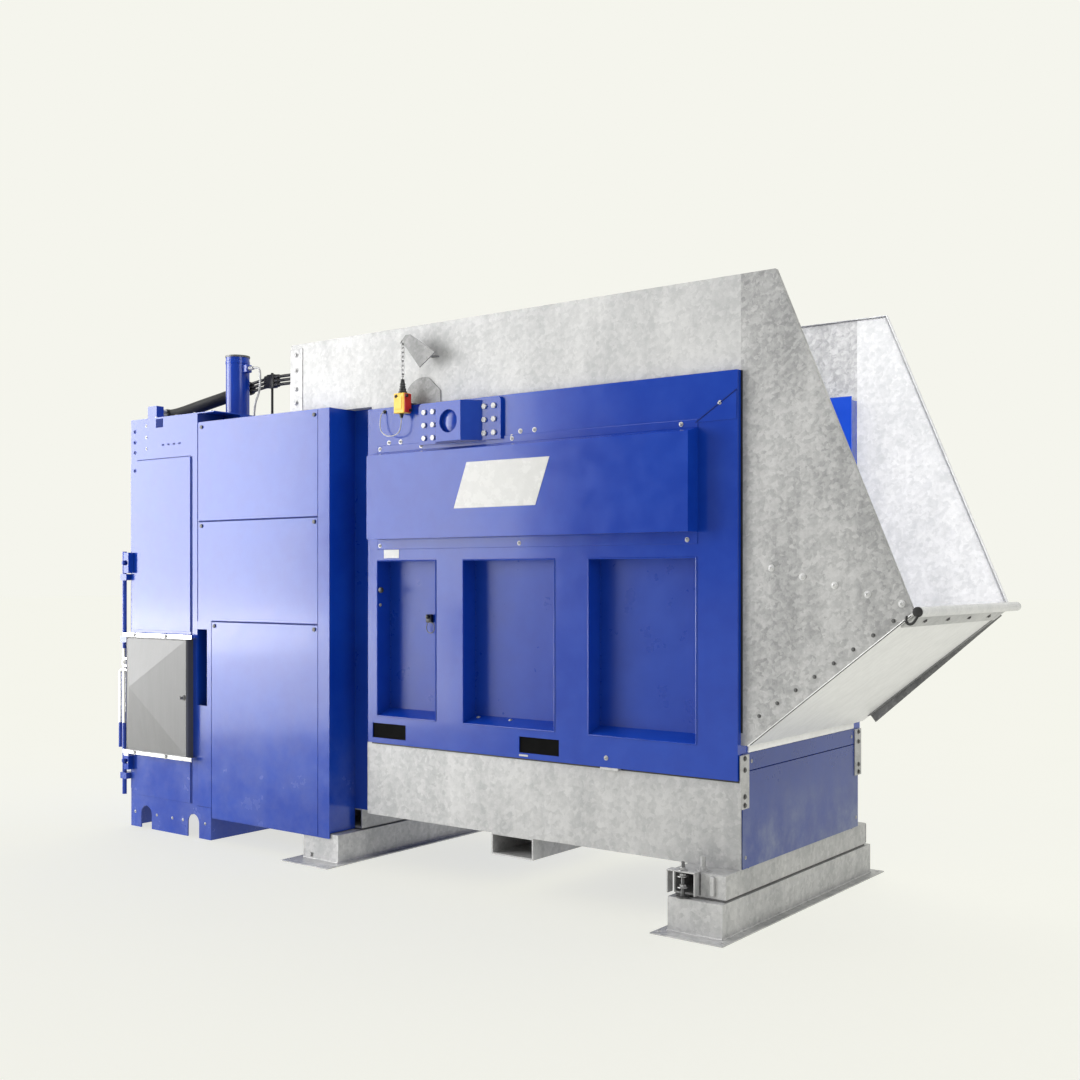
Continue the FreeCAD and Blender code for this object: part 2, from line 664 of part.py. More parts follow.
lip = new_body("chute_lip", d.mouth_tip_x + d.lip_radius + d.lip_seat, d.lip_half, d.mouth_tip_z)
tube = new_sketch(lip, "XZ")
circle(tube, 0, 0, d.lip_radius)
circle(tube, 0, 0, d.lip_radius - d.lip_wall)
pad(lip, tube, 2 * d.lip_half)
keep(lip, "chute_lip")

# ---------------------------------------------------------------- bearings and swing arm
for name, side in SIDES:
    body = new_body(f"bearing_{name}", d.shaft_x, side * d.frame_face, 0)
    back = side > 0
    flange = new_sketch(body, "XZ")
    low, high, corner = d.block_bottom, d.flange_top, d.flange_round
    outline(flange, [(-d.flange_half, low), (d.flange_half, low),
                     (d.flange_half, high - corner, corner), (d.flange_half - corner, high),
                     (corner - d.flange_half, high, corner), (-d.flange_half, high - corner)])
    pad(body, flange, d.flange_thick, back=back)
    block = new_sketch(body, "XY", d.block_bottom)
    root_y, tip_y = side * d.flange_thick, side * d.block_depth
    outline(block, [(-d.block_root_half, root_y), (d.block_root_half, root_y),
                    (d.block_tip_half, tip_y), (-d.block_tip_half, tip_y)])
    pad(body, block, d.block_top - d.block_bottom)
    mouth = new_sketch(body, "XZ", -side * d.block_depth)
    circle(mouth, 0, d.shaft_z, d.shaft_radius + d.bearing_fit)
    pocket(body, mouth, d.block_depth, back=back)
    recess = new_sketch(body, "XZ", -side * d.block_depth)
    circle(recess, 0, d.shaft_z, d.block_recess_radius)
    pocket(body, recess, d.block_recess_depth, back=back)
    keep(body, f"bearing_{name}")

arm_half = d.arm_width / 2
side_root = d.hub_radius
tip_z = d.shaft_z - d.arm_tip_radius
arm = new_body("swing_arm", 0, 0, 0)
for start in (-arm_half, arm_half - d.arm_plate):
    plate = new_sketch(arm, "XZ", start)
    outline(plate, [(d.shaft_x + side_root, d.shaft_z, side_root),
                    (d.shaft_x, d.shaft_z + side_root, side_root),
                    (d.shaft_x - side_root, d.shaft_z),
                    (d.shaft_x - d.arm_foot_back, tip_z),
                    (d.shaft_x + d.arm_foot_front, tip_z)])
    circle(plate, d.shaft_x, d.shaft_z, d.shaft_radius + d.bearing_fit)
    pad(arm, plate, d.arm_plate)
pusher = new_sketch(arm, "XZ", -arm_half)
rectangle(pusher, d.shaft_x - d.arm_foot_back - d.plate, tip_z,
          d.shaft_x - d.arm_foot_back, d.shaft_z - d.pusher_top_radius)
pad(arm, pusher, d.arm_width)
ties = new_sketch(arm, "XZ", -arm_half)
for share in (0.3, 0.6, 0.9):
    level = d.shaft_z - share * d.arm_tip_radius
    ring(ties, d.shaft_x - d.arm_foot_back, level - 60, d.shaft_x + 40, level, d.skin)
pad(arm, ties, d.arm_width)
keep(arm, "swing_arm")

shaft = rod("y", d.shaft_x, -d.shaft_length / 2, d.shaft_z, d.shaft_radius, d.shaft_length)
lever = new_body("lever", 0, -d.lever_y, 0)
web = new_sketch(lever, "XZ")
pin_z = d.shaft_z - d.lever_length
outline(web, [(d.shaft_x + side_root, d.shaft_z, side_root),
              (d.shaft_x, d.shaft_z + side_root, side_root),
              (d.shaft_x - side_root, d.shaft_z),
              (d.shaft_x - d.lever_boss_radius, pin_z, d.lever_boss_radius),
              (d.shaft_x, pin_z - d.lever_boss_radius, d.lever_boss_radius),
              (d.shaft_x + d.lever_boss_radius, pin_z)])
pad(lever, web, d.lever_thick)
lever_pin = rod("y", d.shaft_x, -d.lever_y - d.lever_pin_length, pin_z, d.lever_pin_radius,
                d.lever_pin_length)
keep(join(shaft, lever, lever_pin), "swing_shaft")

# ---------------------------------------------------------------- drive cylinder
drive_z = (d.yoke_bottom + d.yoke_top) / 2
yoke = new_body("yoke", d.shaft_x, d.yoke_thick / 2 - d.drive_y, 0)
eye = new_sketch(yoke, "XZ")
rectangle(eye, -d.yoke_half, d.yoke_bottom, d.yoke_half, d.yoke_top)
rectangle(eye, -d.yoke_slot_half, d.yoke_bottom + d.yoke_end, d.yoke_slot_half,
          d.yoke_top - d.yoke_end)
pad(yoke, eye, d.yoke_thick)
piston_x = d.drive_barrel_left_x + (d.drive_barrel_length + d.piston_height) / 2
rod_left = d.shaft_x + d.yoke_half
drive_rod = rod("x", rod_left, -d.drive_y, drive_z, d.drive_rod_radius, piston_x - rod_left)
drive_piston = rod("x", piston_x - d.piston_height, -d.drive_y, drive_z,
                   d.drive_bore_radius - d.piston_play, d.piston_height)
keep(join(yoke, drive_rod, drive_piston), "drive_rod")

barrel_left = d.drive_barrel_left_x
saddles = [box(barrel_left + x, -d.drive_y, drive_z - d.drive_barrel_radius,
               d.saddle_width, d.drive_y - d.wall_face, 2 * d.drive_barrel_radius)
           for x in (d.gland_length, d.drive_barrel_length - 2 * d.saddle_width)]
keep(cut(join(rod("x", barrel_left, -d.drive_y, drive_z, d.drive_barrel_radius,
                  d.drive_barrel_length), *saddles),
         rod("x", barrel_left + d.gland_length, -d.drive_y, drive_z, d.drive_bore_radius,
             d.drive_barrel_length - 2 * d.gland_length),
         rod("x", barrel_left, -d.drive_y, drive_z, d.drive_rod_radius + d.bearing_fit,
             d.gland_length)),
     "drive_cylinder")


def cover_outline(sketch, inset):
    front = d.frame_face + d.cover_depth - inset
    outline(sketch, [(-front, d.cover_bottom + inset), (-d.frame_face, d.cover_bottom + inset),
                     (-d.frame_face, d.cover_top - inset), (-front, d.cover_front_z - inset)])


cover = new_body("drive_cover", d.cover_left_x, 0, 0)
outside = new_sketch(cover, "YZ")
cover_outline(outside, as_size(0))
pad(cover, outside, d.cover_length)
inside = new_sketch(cover, "YZ", d.cover_sheet)
cover_outline(inside, d.cover_sheet)
pocket(cover, inside, d.cover_length - 2 * d.cover_sheet, back=True)
keep(cover, "drive_cover")

# ---------------------------------------------------------------- baling tower
base = new_body("tower_base", 0, 0, 0)
skirt = new_sketch(base, "XY")
ring(skirt, d.tower_left, -d.tower_face, d.base_right, d.tower_face, d.plate)
pad(base, skirt, d.base_height)
arches = new_sketch(base, "XZ")
spring = d.arch_top - d.arch_radius
for x in (d.arch_left_x, d.arch_right_x):
    outline(arches, [(x - d.arch_radius, -1), (x + d.arch_radius, -1),
                     (x + d.arch_radius, spring, d.arch_radius),
              (x, spring + d.arch_radius, d.arch_radius), (x - d.arch_radius, spring)])
pocket(base, arches, both=True)
keep(base, "tower_base")

for name, side in SIDES:
    body = new_body(f"casing_{name}", 0, 0, d.base_height)
    section = new_sketch(body, "XY")
    face, back_face = side * d.tower_face, side * d.wall_face
    outline(section, [(d.tower_left, face), (d.casing_right, face),
                      (d.casing_right, back_face), (tower_inner, back_face),
                      (tower_inner, side * liner), (d.tower_left, side * liner)])
    rectangle(section, d.tower_left + d.skin, side * (d.tower_face - d.skin),
              d.casing_right - d.skin, back_face)
    pad(body, section, roof_z - d.base_height)
    keep(body, f"tower_wall_{name}")

bale_floor = new_body("tower_floor", d.tower_left, 0, d.base_height)
deck = new_sketch(bale_floor, "XY")
half = liner - d.fit_gap
rectangle(deck, 0, -half, tower_inner - d.tower_left, half)
pad(bale_floor, deck, d.floor_thick)
grooves = new_sketch(bale_floor, "XY", d.floor_thick)
for index in range(4):
    y = (index - 1.5) * d.strap_groove_pitch
    rectangle(grooves, -1, y - d.strap_groove_width / 2,
              tower_inner - d.tower_left + 1, y + d.strap_groove_width / 2)
pocket(bale_floor, grooves, d.strap_groove_depth)
keep(bale_floor, "tower_floor")

jamb_width = d.wall_face - d.mouth_half
gather([
    box(tower_inner, -d.wall_face, d.base_height, d.plate, 2 * d.wall_face,
        d.sill_z - d.base_height),
    box(tower_inner, -d.wall_face, d.sill_z, d.plate, jamb_width, d.mouth_top - d.sill_z),
    box(tower_inner, d.mouth_half, d.sill_z, d.plate, jamb_width, d.mouth_top - d.sill_z),
    box(tower_inner, -d.wall_face, d.mouth_top, d.plate, 2 * d.wall_face, roof_z - d.mouth_top),
], "tower_inner_wall")

crosshead = new_body("tower_crosshead", d.press_x, liner - d.fit_gap, 0)
section = new_sketch(crosshead, "XZ")
ring(section, -d.crosshead_width / 2, roof_z - d.crosshead_height,
     d.crosshead_width / 2, roof_z, d.crosshead_wall)
pad(crosshead, section, 2 * (liner - d.fit_gap))
bores = new_sketch(crosshead, "XY")
for side in (-1, 1):
    circle(bores, 0, side * d.press_y - liner + d.fit_gap, d.barrel_radius + d.fit_gap)
pocket(crosshead, bores, back=True)
keep(crosshead, "tower_crosshead")

roof = new_body("roof_plate", 0, 0, roof_z)
lid = new_sketch(roof, "XY")
rectangle(lid, d.tower_left, -d.tower_face, d.tower_right, d.tower_face)
for side in (-1, 1):
    circle(lid, d.press_x, side * d.press_y, d.barrel_radius + d.fit_gap)
pad(roof, lid, d.skin)
apron_half = liner - d.fit_gap
keep(join(roof,
          box(d.tower_left, -apron_half, d.apron_bottom, d.skin, 2 * apron_half,
              roof_z - d.apron_bottom),
          box(d.manifold_x, d.manifold_y - d.manifold_depth, d.tower_top, d.manifold_width,
              d.manifold_depth, d.manifold_height)),
     "tower_roof")

rod_foot_z = d.platen_face_z + d.platen_plate
piston_top = d.barrel_bottom + d.barrel_gland + d.press_stroke + d.piston_height + d.skin
barrels, rods = [], []
for side in (-1, 1):
    y = side * d.press_y
    shell = join(rod("z", d.press_x, y, d.barrel_bottom, d.barrel_radius,
                     d.barrel_top - d.barrel_bottom),
                 rod("z", d.press_x, y, d.tower_top, d.barrel_flange_radius,
                     d.barrel_flange_thick))
    barrels.append(cut(
        shell,
        rod("z", d.press_x, y, d.barrel_bottom + d.barrel_gland, d.barrel_bore,
            d.barrel_top - d.barrel_bottom - d.barrel_gland - d.platen_plate),
        rod("z", d.press_x, y, d.barrel_bottom, d.press_rod_radius + d.bearing_fit,
            d.barrel_gland)))
    rods.append(join(
        rod("z", d.press_x, y, rod_foot_z, d.press_rod_radius, piston_top - rod_foot_z),
        rod("z", d.press_x, y, piston_top - d.piston_height, d.barrel_bore - d.piston_play,
            d.piston_height)))
gather(barrels, "press_cylinders")
gather(rods, "press_rods")

platen = new_body("press_platen", 0, 0, 0)
platen_left = d.tower_left + d.platen_play
platen_right = tower_inner - d.platen_play
platen_half = liner - d.platen_play
sole = new_sketch(platen, "XY", d.platen_face_z)
rectangle(sole, platen_left, -platen_half, platen_right, platen_half)
pad(platen, sole, d.platen_plate)
walls = new_sketch(platen, "XY", rod_foot_z)
rectangle(walls, platen_left, -platen_half, platen_right, platen_half)
cell_left, cell_right = platen_left + d.platen_wall, platen_right - d.platen_wall
rectangle(walls, cell_left, d.platen_web_y, cell_right, platen_half - d.platen_wall)
rectangle(walls, cell_left, d.platen_wall - d.platen_web_y, cell_right,
          d.platen_web_y - d.platen_wall)
rectangle(walls, cell_left, d.platen_wall - platen_half, cell_right, -d.platen_web_y)
pad(platen, walls, d.platen_height - d.platen_plate)
keep(platen, "press_platen")

# ---------------------------------------------------------------- bale door
door_back = d.tower_left - d.door_gap
door_face = door_back - d.door_plate
hinge_x = d.tower_left - d.hinge_x_off
door = new_body("door_leaf", door_face, 0, 0)
leaf = new_sketch(door, "YZ")
rectangle(leaf, d.door_free_y, d.door_bottom, d.door_hinge_edge_y, d.door_top)
pad(door, leaf, d.door_plate)
ribs = new_sketch(door, "XZ", -d.rib_hinge_y)
for index in range(5):
    z = d.rib_first_z + index * d.rib_pitch
    outline(ribs, [(0, z), (0, z + d.rib_wall), (d.rib_wall - d.rib_depth, z + d.rib_wall),
                   (d.rib_wall - d.rib_depth, z + d.rib_height - d.rib_wall),
                   (0, z + d.rib_height - d.rib_wall), (0, z + d.rib_height),
                   (-d.rib_depth, z + d.rib_height), (-d.rib_depth, z)])
pad(door, ribs, d.rib_hinge_y - d.rib_free_y)

lock_x = d.tower_left - d.lock_x_off
door_pieces, door_bores, hinge_pieces = [door], [], []
for index in range(3):
    z = d.hinge_first_z + index * d.hinge_pitch
    strap = d.knuckle_half
    door_pieces.append(box(door_face - d.door_plate, d.rib_hinge_y, z - strap,
                           d.door_plate, d.hinge_y - d.rib_hinge_y, 2 * strap))
    door_pieces.append(rod("z", hinge_x, d.hinge_y, z - strap, d.knuckle_radius, 2 * strap))
    door_bores.append(rod("z", hinge_x, d.hinge_y, z - strap,
                          d.hinge_pin_radius + d.pin_fit, 2 * strap))
    leaf_x = hinge_x + d.knuckle_radius - d.skin
    for low in (z - d.hinge_half, z + strap + d.fit_gap):
        height = d.hinge_half - strap - d.fit_gap
        hinge_pieces.append(join(
            box(leaf_x, d.hinge_y - d.knuckle_radius, low, d.tower_left - leaf_x,
                d.leaf_width, height),
            rod("z", hinge_x, d.hinge_y, low, d.knuckle_radius, height)))
    hinge_pieces.append(rod("z", hinge_x, d.hinge_y, z - d.hinge_half, d.hinge_pin_radius,
                            2 * d.hinge_half))
LUGS = (300, 1180, 1580)
for z in LUGS:
    door_pieces.append(box(lock_x - d.lock_radius - d.lug_height / 4,
                           -d.lock_y - d.lock_radius - 2, z,
                           door_face - lock_x + d.lock_radius + d.lug_height / 4,
                           d.lock_y + d.lock_radius + 2 + d.door_free_y + d.lug_height,
                           d.lug_height))
    door_bores.append(rod("z", lock_x, -d.lock_y, z, d.lock_radius + d.bearing_fit,
                          d.lug_height))
keep(cut(join(*door_pieces), *door_bores), "bale_door")
keep(join(*hinge_pieces), "door_hinges")

keeper_left = lock_x + d.lock_radius + d.keeper_gap
keeper_front = -d.tower_face - d.keeper_depth
KEEPERS = ((d.keeper_top_z, d.keeper_top_height), (d.keeper_mid_z, d.keeper_mid_height),
           (d.keeper_low_z, d.keeper_low_height))
brackets = []
for z, height in KEEPERS:
    brackets.append(cut(
        box(keeper_left, keeper_front, z - height / 2, d.keeper_reach, d.keeper_depth, height),
        box(keeper_left, keeper_front, z - (d.claw_thick + d.claw_play) / 2,
            d.keeper_reach - d.skin, d.keeper_depth, d.claw_thick + d.claw_play)))

claws = []
for z, height in KEEPERS:
    low = z - d.claw_thick / 2
    collar = join(rod("z", lock_x, -d.lock_y, low, d.claw_collar, d.claw_thick),
                  box(lock_x - d.claw_width / 2, -d.lock_y, low, d.claw_width,
                      d.claw_length, d.claw_thick))
    claws.append(cut(collar, rod("z", lock_x, -d.lock_y, low, d.lock_radius + d.bearing_fit,
                                 d.claw_thick)))
lock_pieces = [rod("z", lock_x, -d.lock_y, d.lock_bottom, d.lock_radius,
                   d.lock_top - d.lock_bottom)]
axis_x = n.tower_left - n.lock_x_off
grip = [V(axis_x - n.lever_leg, -n.lock_y, n.lever_long_z),
        V(axis_x - n.lever_leg, -n.lock_y, n.lever_top_z),
        V(axis_x + n.lever_leg, -n.lock_y, n.lever_top_z),
        V(axis_x + n.lever_leg, -n.lock_y, n.lever_short_z)]
grip_bends = [n.lever_bend, n.lever_bend]
lock_pieces.append(feature("grip", round_tube(grip, n.lever_tube_radius, grip_bends)[1]))
gather([join(*lock_pieces), *claws], "lock_bar")

# ---------------------------------------------------------------- stainless hood
tray_face = -d.tower_face - d.hood_depth
tray = new_body("tray_sheet", 0, 0, 0)
rim = new_sketch(tray, "XZ", d.tower_face)
rectangle(rim, d.hood_left, d.hood_bottom, d.hood_right, d.hood_top)
pad(tray, rim, d.hood_depth)
well = new_sketch(tray, "XZ", d.tower_face + d.cover_sheet)
rectangle(well, d.hood_left + d.cover_sheet, d.hood_bottom + d.cover_sheet,
          d.hood_right - d.cover_sheet, d.hood_top - d.cover_sheet)
pocket(tray, well, d.hood_depth, back=True)
hood_axis_x = d.hood_left - d.hood_knuckle - 1
HOOD_HINGES = (d.hood_bottom + d.hood_hinge_in, d.hood_top - d.hood_hinge_in)


def hood_knuckle(z, length, leaf_y):
    """Round knuckle on the hood's hinge line with a leaf that reaches onto its sheet."""
    return [rod("z", hood_axis_x, tray_face, z, d.hood_knuckle, length),
            box(hood_axis_x, leaf_y, z, d.hood_knuckle + d.sheet, d.hood_knuckle - 1, length)]


tray_pieces, lid_pieces = [tray], []
for z in HOOD_HINGES:
    for low in (z - 40, z + 20 + d.fit_gap):
        tray_pieces += hood_knuckle(low, 20 - d.fit_gap, tray_face)
    lid_pieces += hood_knuckle(z - 20, 40, tray_face - d.hood_knuckle + 1)
keep(join(*tray_pieces), "hood_tray")

for low, shelf_z in ((d.hood_top, d.hood_top), (d.hood_bottom - d.rail_height,
                                                d.hood_bottom - d.rail_thick)):
    brackets.append(join(
        box(d.rail_left, tray_face - d.rail_thick, low, d.rail_right - d.rail_left,
            d.rail_thick, d.rail_height),
        box(d.hood_left, tray_face, shelf_z, d.rail_right - d.hood_left, d.hood_depth,
            d.rail_thick)))
gather(brackets, "tower_brackets")


lid_bottom = d.hood_bottom + d.hood_play
lid_top = d.hood_top - d.hood_play


def peaked_lid(inset):
    """Rectangular rim with four creased faces that rise to one peak."""
    wedge = doc.addObject("Part::Wedge", "Wedge")
    wedge.Placement.Rotation = FreeCAD.Rotation(V(0, 0, 1), 180)
    low, high = -d.hood_right + inset, -d.hood_left - inset
    for prop, value in (("Xmin", low), ("Xmax", high), ("Zmin", lid_bottom + inset),
                        ("Zmax", lid_top - inset), ("X2min", -d.hood_peak_x - 1),
                        ("X2max", -d.hood_peak_x + 1), ("Z2min", d.hood_peak_z - 1),
                        ("Z2max", d.hood_peak_z + 1), ("Ymin", -tray_face + d.hood_lid_edge),
                        ("Ymax", -tray_face + d.hood_peak - inset)):
        bind(wedge, prop, value)
    return wedge


lid_rim = box(d.hood_left, tray_face - d.hood_lid_edge, lid_bottom,
              d.hood_right - d.hood_left, d.hood_lid_edge, lid_top - lid_bottom)
lid_well = box(d.hood_left + d.cover_sheet, tray_face - d.hood_lid_edge,
               lid_bottom + d.cover_sheet, d.hood_right - d.hood_left - 2 * d.cover_sheet,
               d.hood_lid_edge, lid_top - lid_bottom - 2 * d.cover_sheet)
lid_sheet = cut(join(lid_rim, peaked_lid(as_size(0))), lid_well, peaked_lid(d.cover_sheet))
keep(join(lid_sheet, *lid_pieces), "hood_lid")

# ---------------------------------------------------------------- service cabinet
panel_back = d.tower_face - d.panel_thick
panel_right = d.cabinet_right - d.corner_width
PANELS = (("cabinet_panel_top", d.panel_left, d.seam_high, d.cabinet_top - d.panel_inset),
          ("cabinet_panel_middle", d.panel_left, d.seam_low, d.seam_high - d.panel_gap),
          ("cabinet_panel_bottom", d.low_panel_left, d.cabinet_bottom + d.panel_inset,
           d.seam_low - d.panel_gap))
shell_left = d.casing_right + d.fit_gap


def lock_places(left, high):
    z = high - d.lock_inset
    return ((left + d.lock_inset, z), (panel_right - d.lock_inset, z))


shell = new_body("cabinet_shell", 0, 0, 0)
face = new_sketch(shell, "XZ", panel_back - d.panel_thick)
step_x, step_z = d.low_panel_left - d.panel_gap, d.base_height + d.hood_play
STEP = [(shell_left, step_z), (step_x, step_z), (step_x, d.cabinet_bottom)]
NOTCH = [(shell_left, d.notch_top), (d.notch_right, d.notch_top),
         (d.notch_right, d.notch_bottom), (shell_left, d.notch_bottom)]
outline(face, NOTCH + STEP + [(d.cabinet_right, d.cabinet_bottom),
                              (d.cabinet_right, d.cabinet_top), (shell_left, d.cabinet_top)])
for label, left, low, high in PANELS:
    rectangle(face, left + d.panel_border, low + d.panel_border,
              panel_right - d.panel_border, high - 2 * d.lock_inset)
    for x, z in lock_places(left, high):
        circle(face, x, z, d.turn_stem_radius + d.bearing_fit)
pad(shell, face, d.panel_thick)
skins = new_sketch(shell, "XZ", d.wall_face)
for inset in (as_size(0), d.panel_thick):
    floor_z, left_x = d.cabinet_floor + inset, shell_left + inset
    outline(skins, [(left_x, step_z + inset), (step_x + inset, step_z + inset),
                    (step_x + inset, floor_z), (d.cabinet_right - inset, floor_z),
                    (d.cabinet_right - inset, d.cabinet_top - inset),
                    (left_x, d.cabinet_top - inset)])
pad(shell, skins, panel_back - d.panel_thick - d.wall_face)
corner_strip = new_sketch(shell, "XZ", panel_back)
rectangle(corner_strip, panel_right + d.panel_gap, d.cabinet_bottom,
          d.cabinet_right, d.cabinet_top)
outline(corner_strip, NOTCH + STEP[:2] + [(step_x, d.seam_low - d.panel_gap),
                                          (shell_left, d.seam_low - d.panel_gap)])
pad(shell, corner_strip, d.panel_thick)
keep(shell, "cabinet_shell")

locks = []
for label, left, low, high in PANELS:
    body = new_body(label, 0, 0, 0)
    face = new_sketch(body, "XZ", panel_back)
    rectangle(face, left, low, panel_right, high)
    for x, z in lock_places(left, high):
        circle(face, x, z, d.turn_stem_radius + d.bearing_fit)
        locks.append((x, z))
    pad(body, face, d.panel_thick)
    keep(body, label)

cam_y = d.panel_thick + d.fit_gap - panel_back
for index, (x, z) in enumerate(locks, start=1):
    stem_length = cam_y + d.turn_cam_thick + d.tower_face
    keep(join(rod("y", x, -d.tower_face - d.turn_head, z, d.turn_radius, d.turn_head),
              rod("y", x, -d.tower_face, z, d.turn_stem_radius, stem_length),
              box(x - d.turn_cam_width / 2, cam_y, z - d.turn_cam_length + d.turn_cam_width / 2,
                  d.turn_cam_width, d.turn_cam_thick, d.turn_cam_length)),
         f"panel_lock_{index}")

tank_y = -d.wall_face - d.tank_depth
tank_bottom = d.cabinet_floor + d.panel_thick
tank_top = tank_bottom + d.tank_height
tank = cut(box(d.tank_left, tank_y, tank_bottom, d.tank_length, d.tank_depth, d.tank_height),
           box(d.tank_left + d.tank_wall, tank_y + d.tank_wall, tank_bottom + d.tank_wall,
               d.tank_length - 2 * d.tank_wall, d.tank_depth - d.tank_wall,
               d.tank_height - 2 * d.tank_wall))
motor_y = tank_y + d.tank_depth / 2
motor_z = tank_top + d.motor_feet + d.motor_radius
motor_left = d.tank_left + d.pump_length + d.motor_feet
pump_set = join(
    tank,
    rod("x", motor_left, motor_y, motor_z, d.motor_radius, d.motor_length),
    rod("x", motor_left - d.pump_length, motor_y, motor_z, d.pump_radius, d.pump_length),
    box(motor_left + d.motor_feet, motor_y - d.motor_radius * 0.8, tank_top,
        d.motor_length - 2 * d.motor_feet, d.motor_radius * 1.6, d.motor_feet + d.motor_radius / 3))
keep(pump_set, "power_pack")

# ---------------------------------------------------------------- pull switch and chain
switch_top = d.switch_bottom + d.switch_height
gland_top = switch_top + d.switch_gland_height
switch_left = d.switch_x - d.switch_width / 2
switch_back = d.switch_y + d.switch_depth / 2
LEAD_ROUTE = ((-8, 0, 0), (-8, 0, -84), (-52, 0, -116), (-126, 2, -116), (-176, 8, -78),
              (-182, 14, -24), (-176, 20, 22), (-172, 42, 26))
lead_points = [V(n.switch_x + u, n.switch_y + v, n.switch_bottom + w) for u, v, w in LEAD_ROUTE]
lead_line, lead = round_tube(lead_points, n.lead_radius, easy_bends(lead_points))
print(f"switch lead: length {lead_line.Length:.0f} mm")
switch_case = cut(
    join(box(switch_left, d.switch_y - d.switch_depth / 2, d.switch_bottom, d.switch_width,
             d.switch_depth, d.switch_height),
         rod("z", d.switch_x, d.switch_y, switch_top, d.switch_gland_radius,
             d.switch_gland_height)),
    rod("z", d.switch_x, d.switch_y, gland_top - 2 * d.stem_depth, d.stem_radius + d.bearing_fit,
        2 * d.stem_depth))
gather([switch_case, feature("lead", lead)], "pull_switch")

holder_foot = d.frame_top + d.skin
holder = new_body("switch_holder", 0, 0, 0)
half_round = new_sketch(holder, "XZ", d.body_half)
holder_right = d.switch_x + d.holder_reach
outline(half_round, [(switch_left, holder_foot), (holder_right, holder_foot),
                     (holder_right, holder_foot + d.holder_shoulder),
                     (d.switch_x + d.holder_crown_x, holder_foot + d.holder_height, d.holder_round),
                     (switch_left, holder_foot + d.holder_shoulder)])
pad(holder, half_round, d.sheet)
holder_face = -d.body_half - d.sheet
tongue = box(switch_left, switch_back, holder_foot, d.switch_width, holder_face - switch_back,
             d.sheet)
hanger = new_body("chain_hanger", 0, 0, 0)
web = new_sketch(hanger, "XZ", -d.switch_y - d.hanger_thick / 2)
HANGER = ((-d.eye_boss, 0), (0, -d.eye_boss), (14, -d.eye_boss), (125, -148), (235, -77),
          (55, 36), (25, 36))
corners = [(d.switch_x + u, d.eye_z + v) for u, v in HANGER]
corners[0] += (d.eye_boss,)
outline(web, corners)
circle(web, d.switch_x, d.eye_z, d.eye_radius)
pad(hanger, web, d.hanger_thick)
hanger_back = d.switch_y + d.hanger_thick / 2
web_foot = box(d.switch_x + d.web_foot_x, hanger_back, d.eye_z - d.web_foot_drop, d.web_foot_width,
               -d.body_half - hanger_back, d.skin)
gather([join(holder, tongue), join(hanger, web_foot)], "switch_brackets")


def stadium(low, half, straight, normal):
    """A face with two straight sides and round ends, upright; `low` is its lowest point."""
    across = V(0, 0, 1).cross(normal)
    up = V(0, 0, 1)
    foot, head = low + up * half, low + up * (half + straight)
    edges = [Part.Arc(foot - across * half, low, foot + across * half).toShape(),
             Part.LineSegment(foot + across * half, head + across * half).toShape(),
             Part.Arc(head + across * half, head + up * half, head - across * half).toShape(),
             Part.LineSegment(head - across * half, foot - across * half).toShape()]
    return Part.Face(Part.Wire(edges))


def chain_link(low, inner, half, wire, turned):
    """One upright link of flat-sided wire, in the XZ plane or turned into the YZ plane."""
    normal = V(1, 0, 0) if turned else V(0, 1, 0)
    start = low - normal * (wire / 2)
    straight = inner + 2 * wire - 2 * half
    outside = stadium(start, half, straight, normal)
    inside = stadium(start + V(0, 0, wire), half - wire, straight, normal)
    return outside.cut(inside).extrude(normal * wire)


chain_step = n.chain_pitch - n.fit_gap
half_link = n.chain_half + n.chain_wire / 2
chain_top = n.eye_z - n.eye_radius + n.hang_play + n.chain_wire
lowest = chain_top - n.chain_pitch - 2 * n.chain_wire - (n.chain_links - 1) * chain_step
links = [chain_link(V(n.switch_x, n.switch_y, lowest + index * chain_step), n.chain_pitch,
                    half_link, n.chain_wire, index % 2 == 0)
         for index in range(int(n.chain_links))]
eye_height = 2 * half_link + n.hang_play
eye_low = V(n.switch_x, n.switch_y, lowest + 2 * n.chain_wire + n.fit_gap - eye_height)
eye = chain_link(eye_low, eye_height - 2 * n.chain_wire, half_link, n.chain_wire, True)
stem_foot = gland_top.value - n.stem_depth
stem = Part.makeCylinder(n.stem_radius, eye_low.z + n.chain_wire / 2 - stem_foot,
                         V(n.switch_x, n.switch_y, stem_foot), V(0, 0, 1))
keep(feature("chain", Part.makeCompound([eye.fuse(stem)] + links)), "pull_chain")

# ---------------------------------------------------------------- hoses
HOSE_ROUTE = ((45, 0, 16), (45, 110, 16), (85, 310, 105), (155, 440, 165), (285, 485, 205),
              (435, 490, 230), (585, 480, 242), (785, 470, 240), (1005, 462, 232),
              (1165, 458, 224), (1305, 458, 224))
POST_FOOT = HOSE_ROUTE[6]


hoses = []
for index in range(3):
    points = [V(n.manifold_x + dx, n.manifold_y + dy, n.tower_top + dz + index * n.hose_pitch)
              for dx, dy, dz in HOSE_ROUTE]
    bends = easy_bends(points)
    path, solid = round_tube(points, n.hose_radius, bends)
    section_volume = math.pi * n.hose_radius ** 2 * path.Length
    print(f"hose {index + 1}: length {path.Length:.0f} mm, tightest bend {min(bends):.0f} mm, "
          f"volume ratio {solid.Volume / section_volume:.4f}")
    hoses.append(solid)
post_at = V(n.manifold_x + POST_FOOT[0], n.manifold_y + POST_FOOT[1], n.tower_top)
post = Part.makeCylinder(n.post_radius, POST_FOOT[2] - n.hose_radius / 2, post_at, V(0, 0, 1))
hoses[0] = hoses[0].fuse(post)
keep(feature("hoses", Part.makeCompound(hoses)), "hydraulic_hoses")

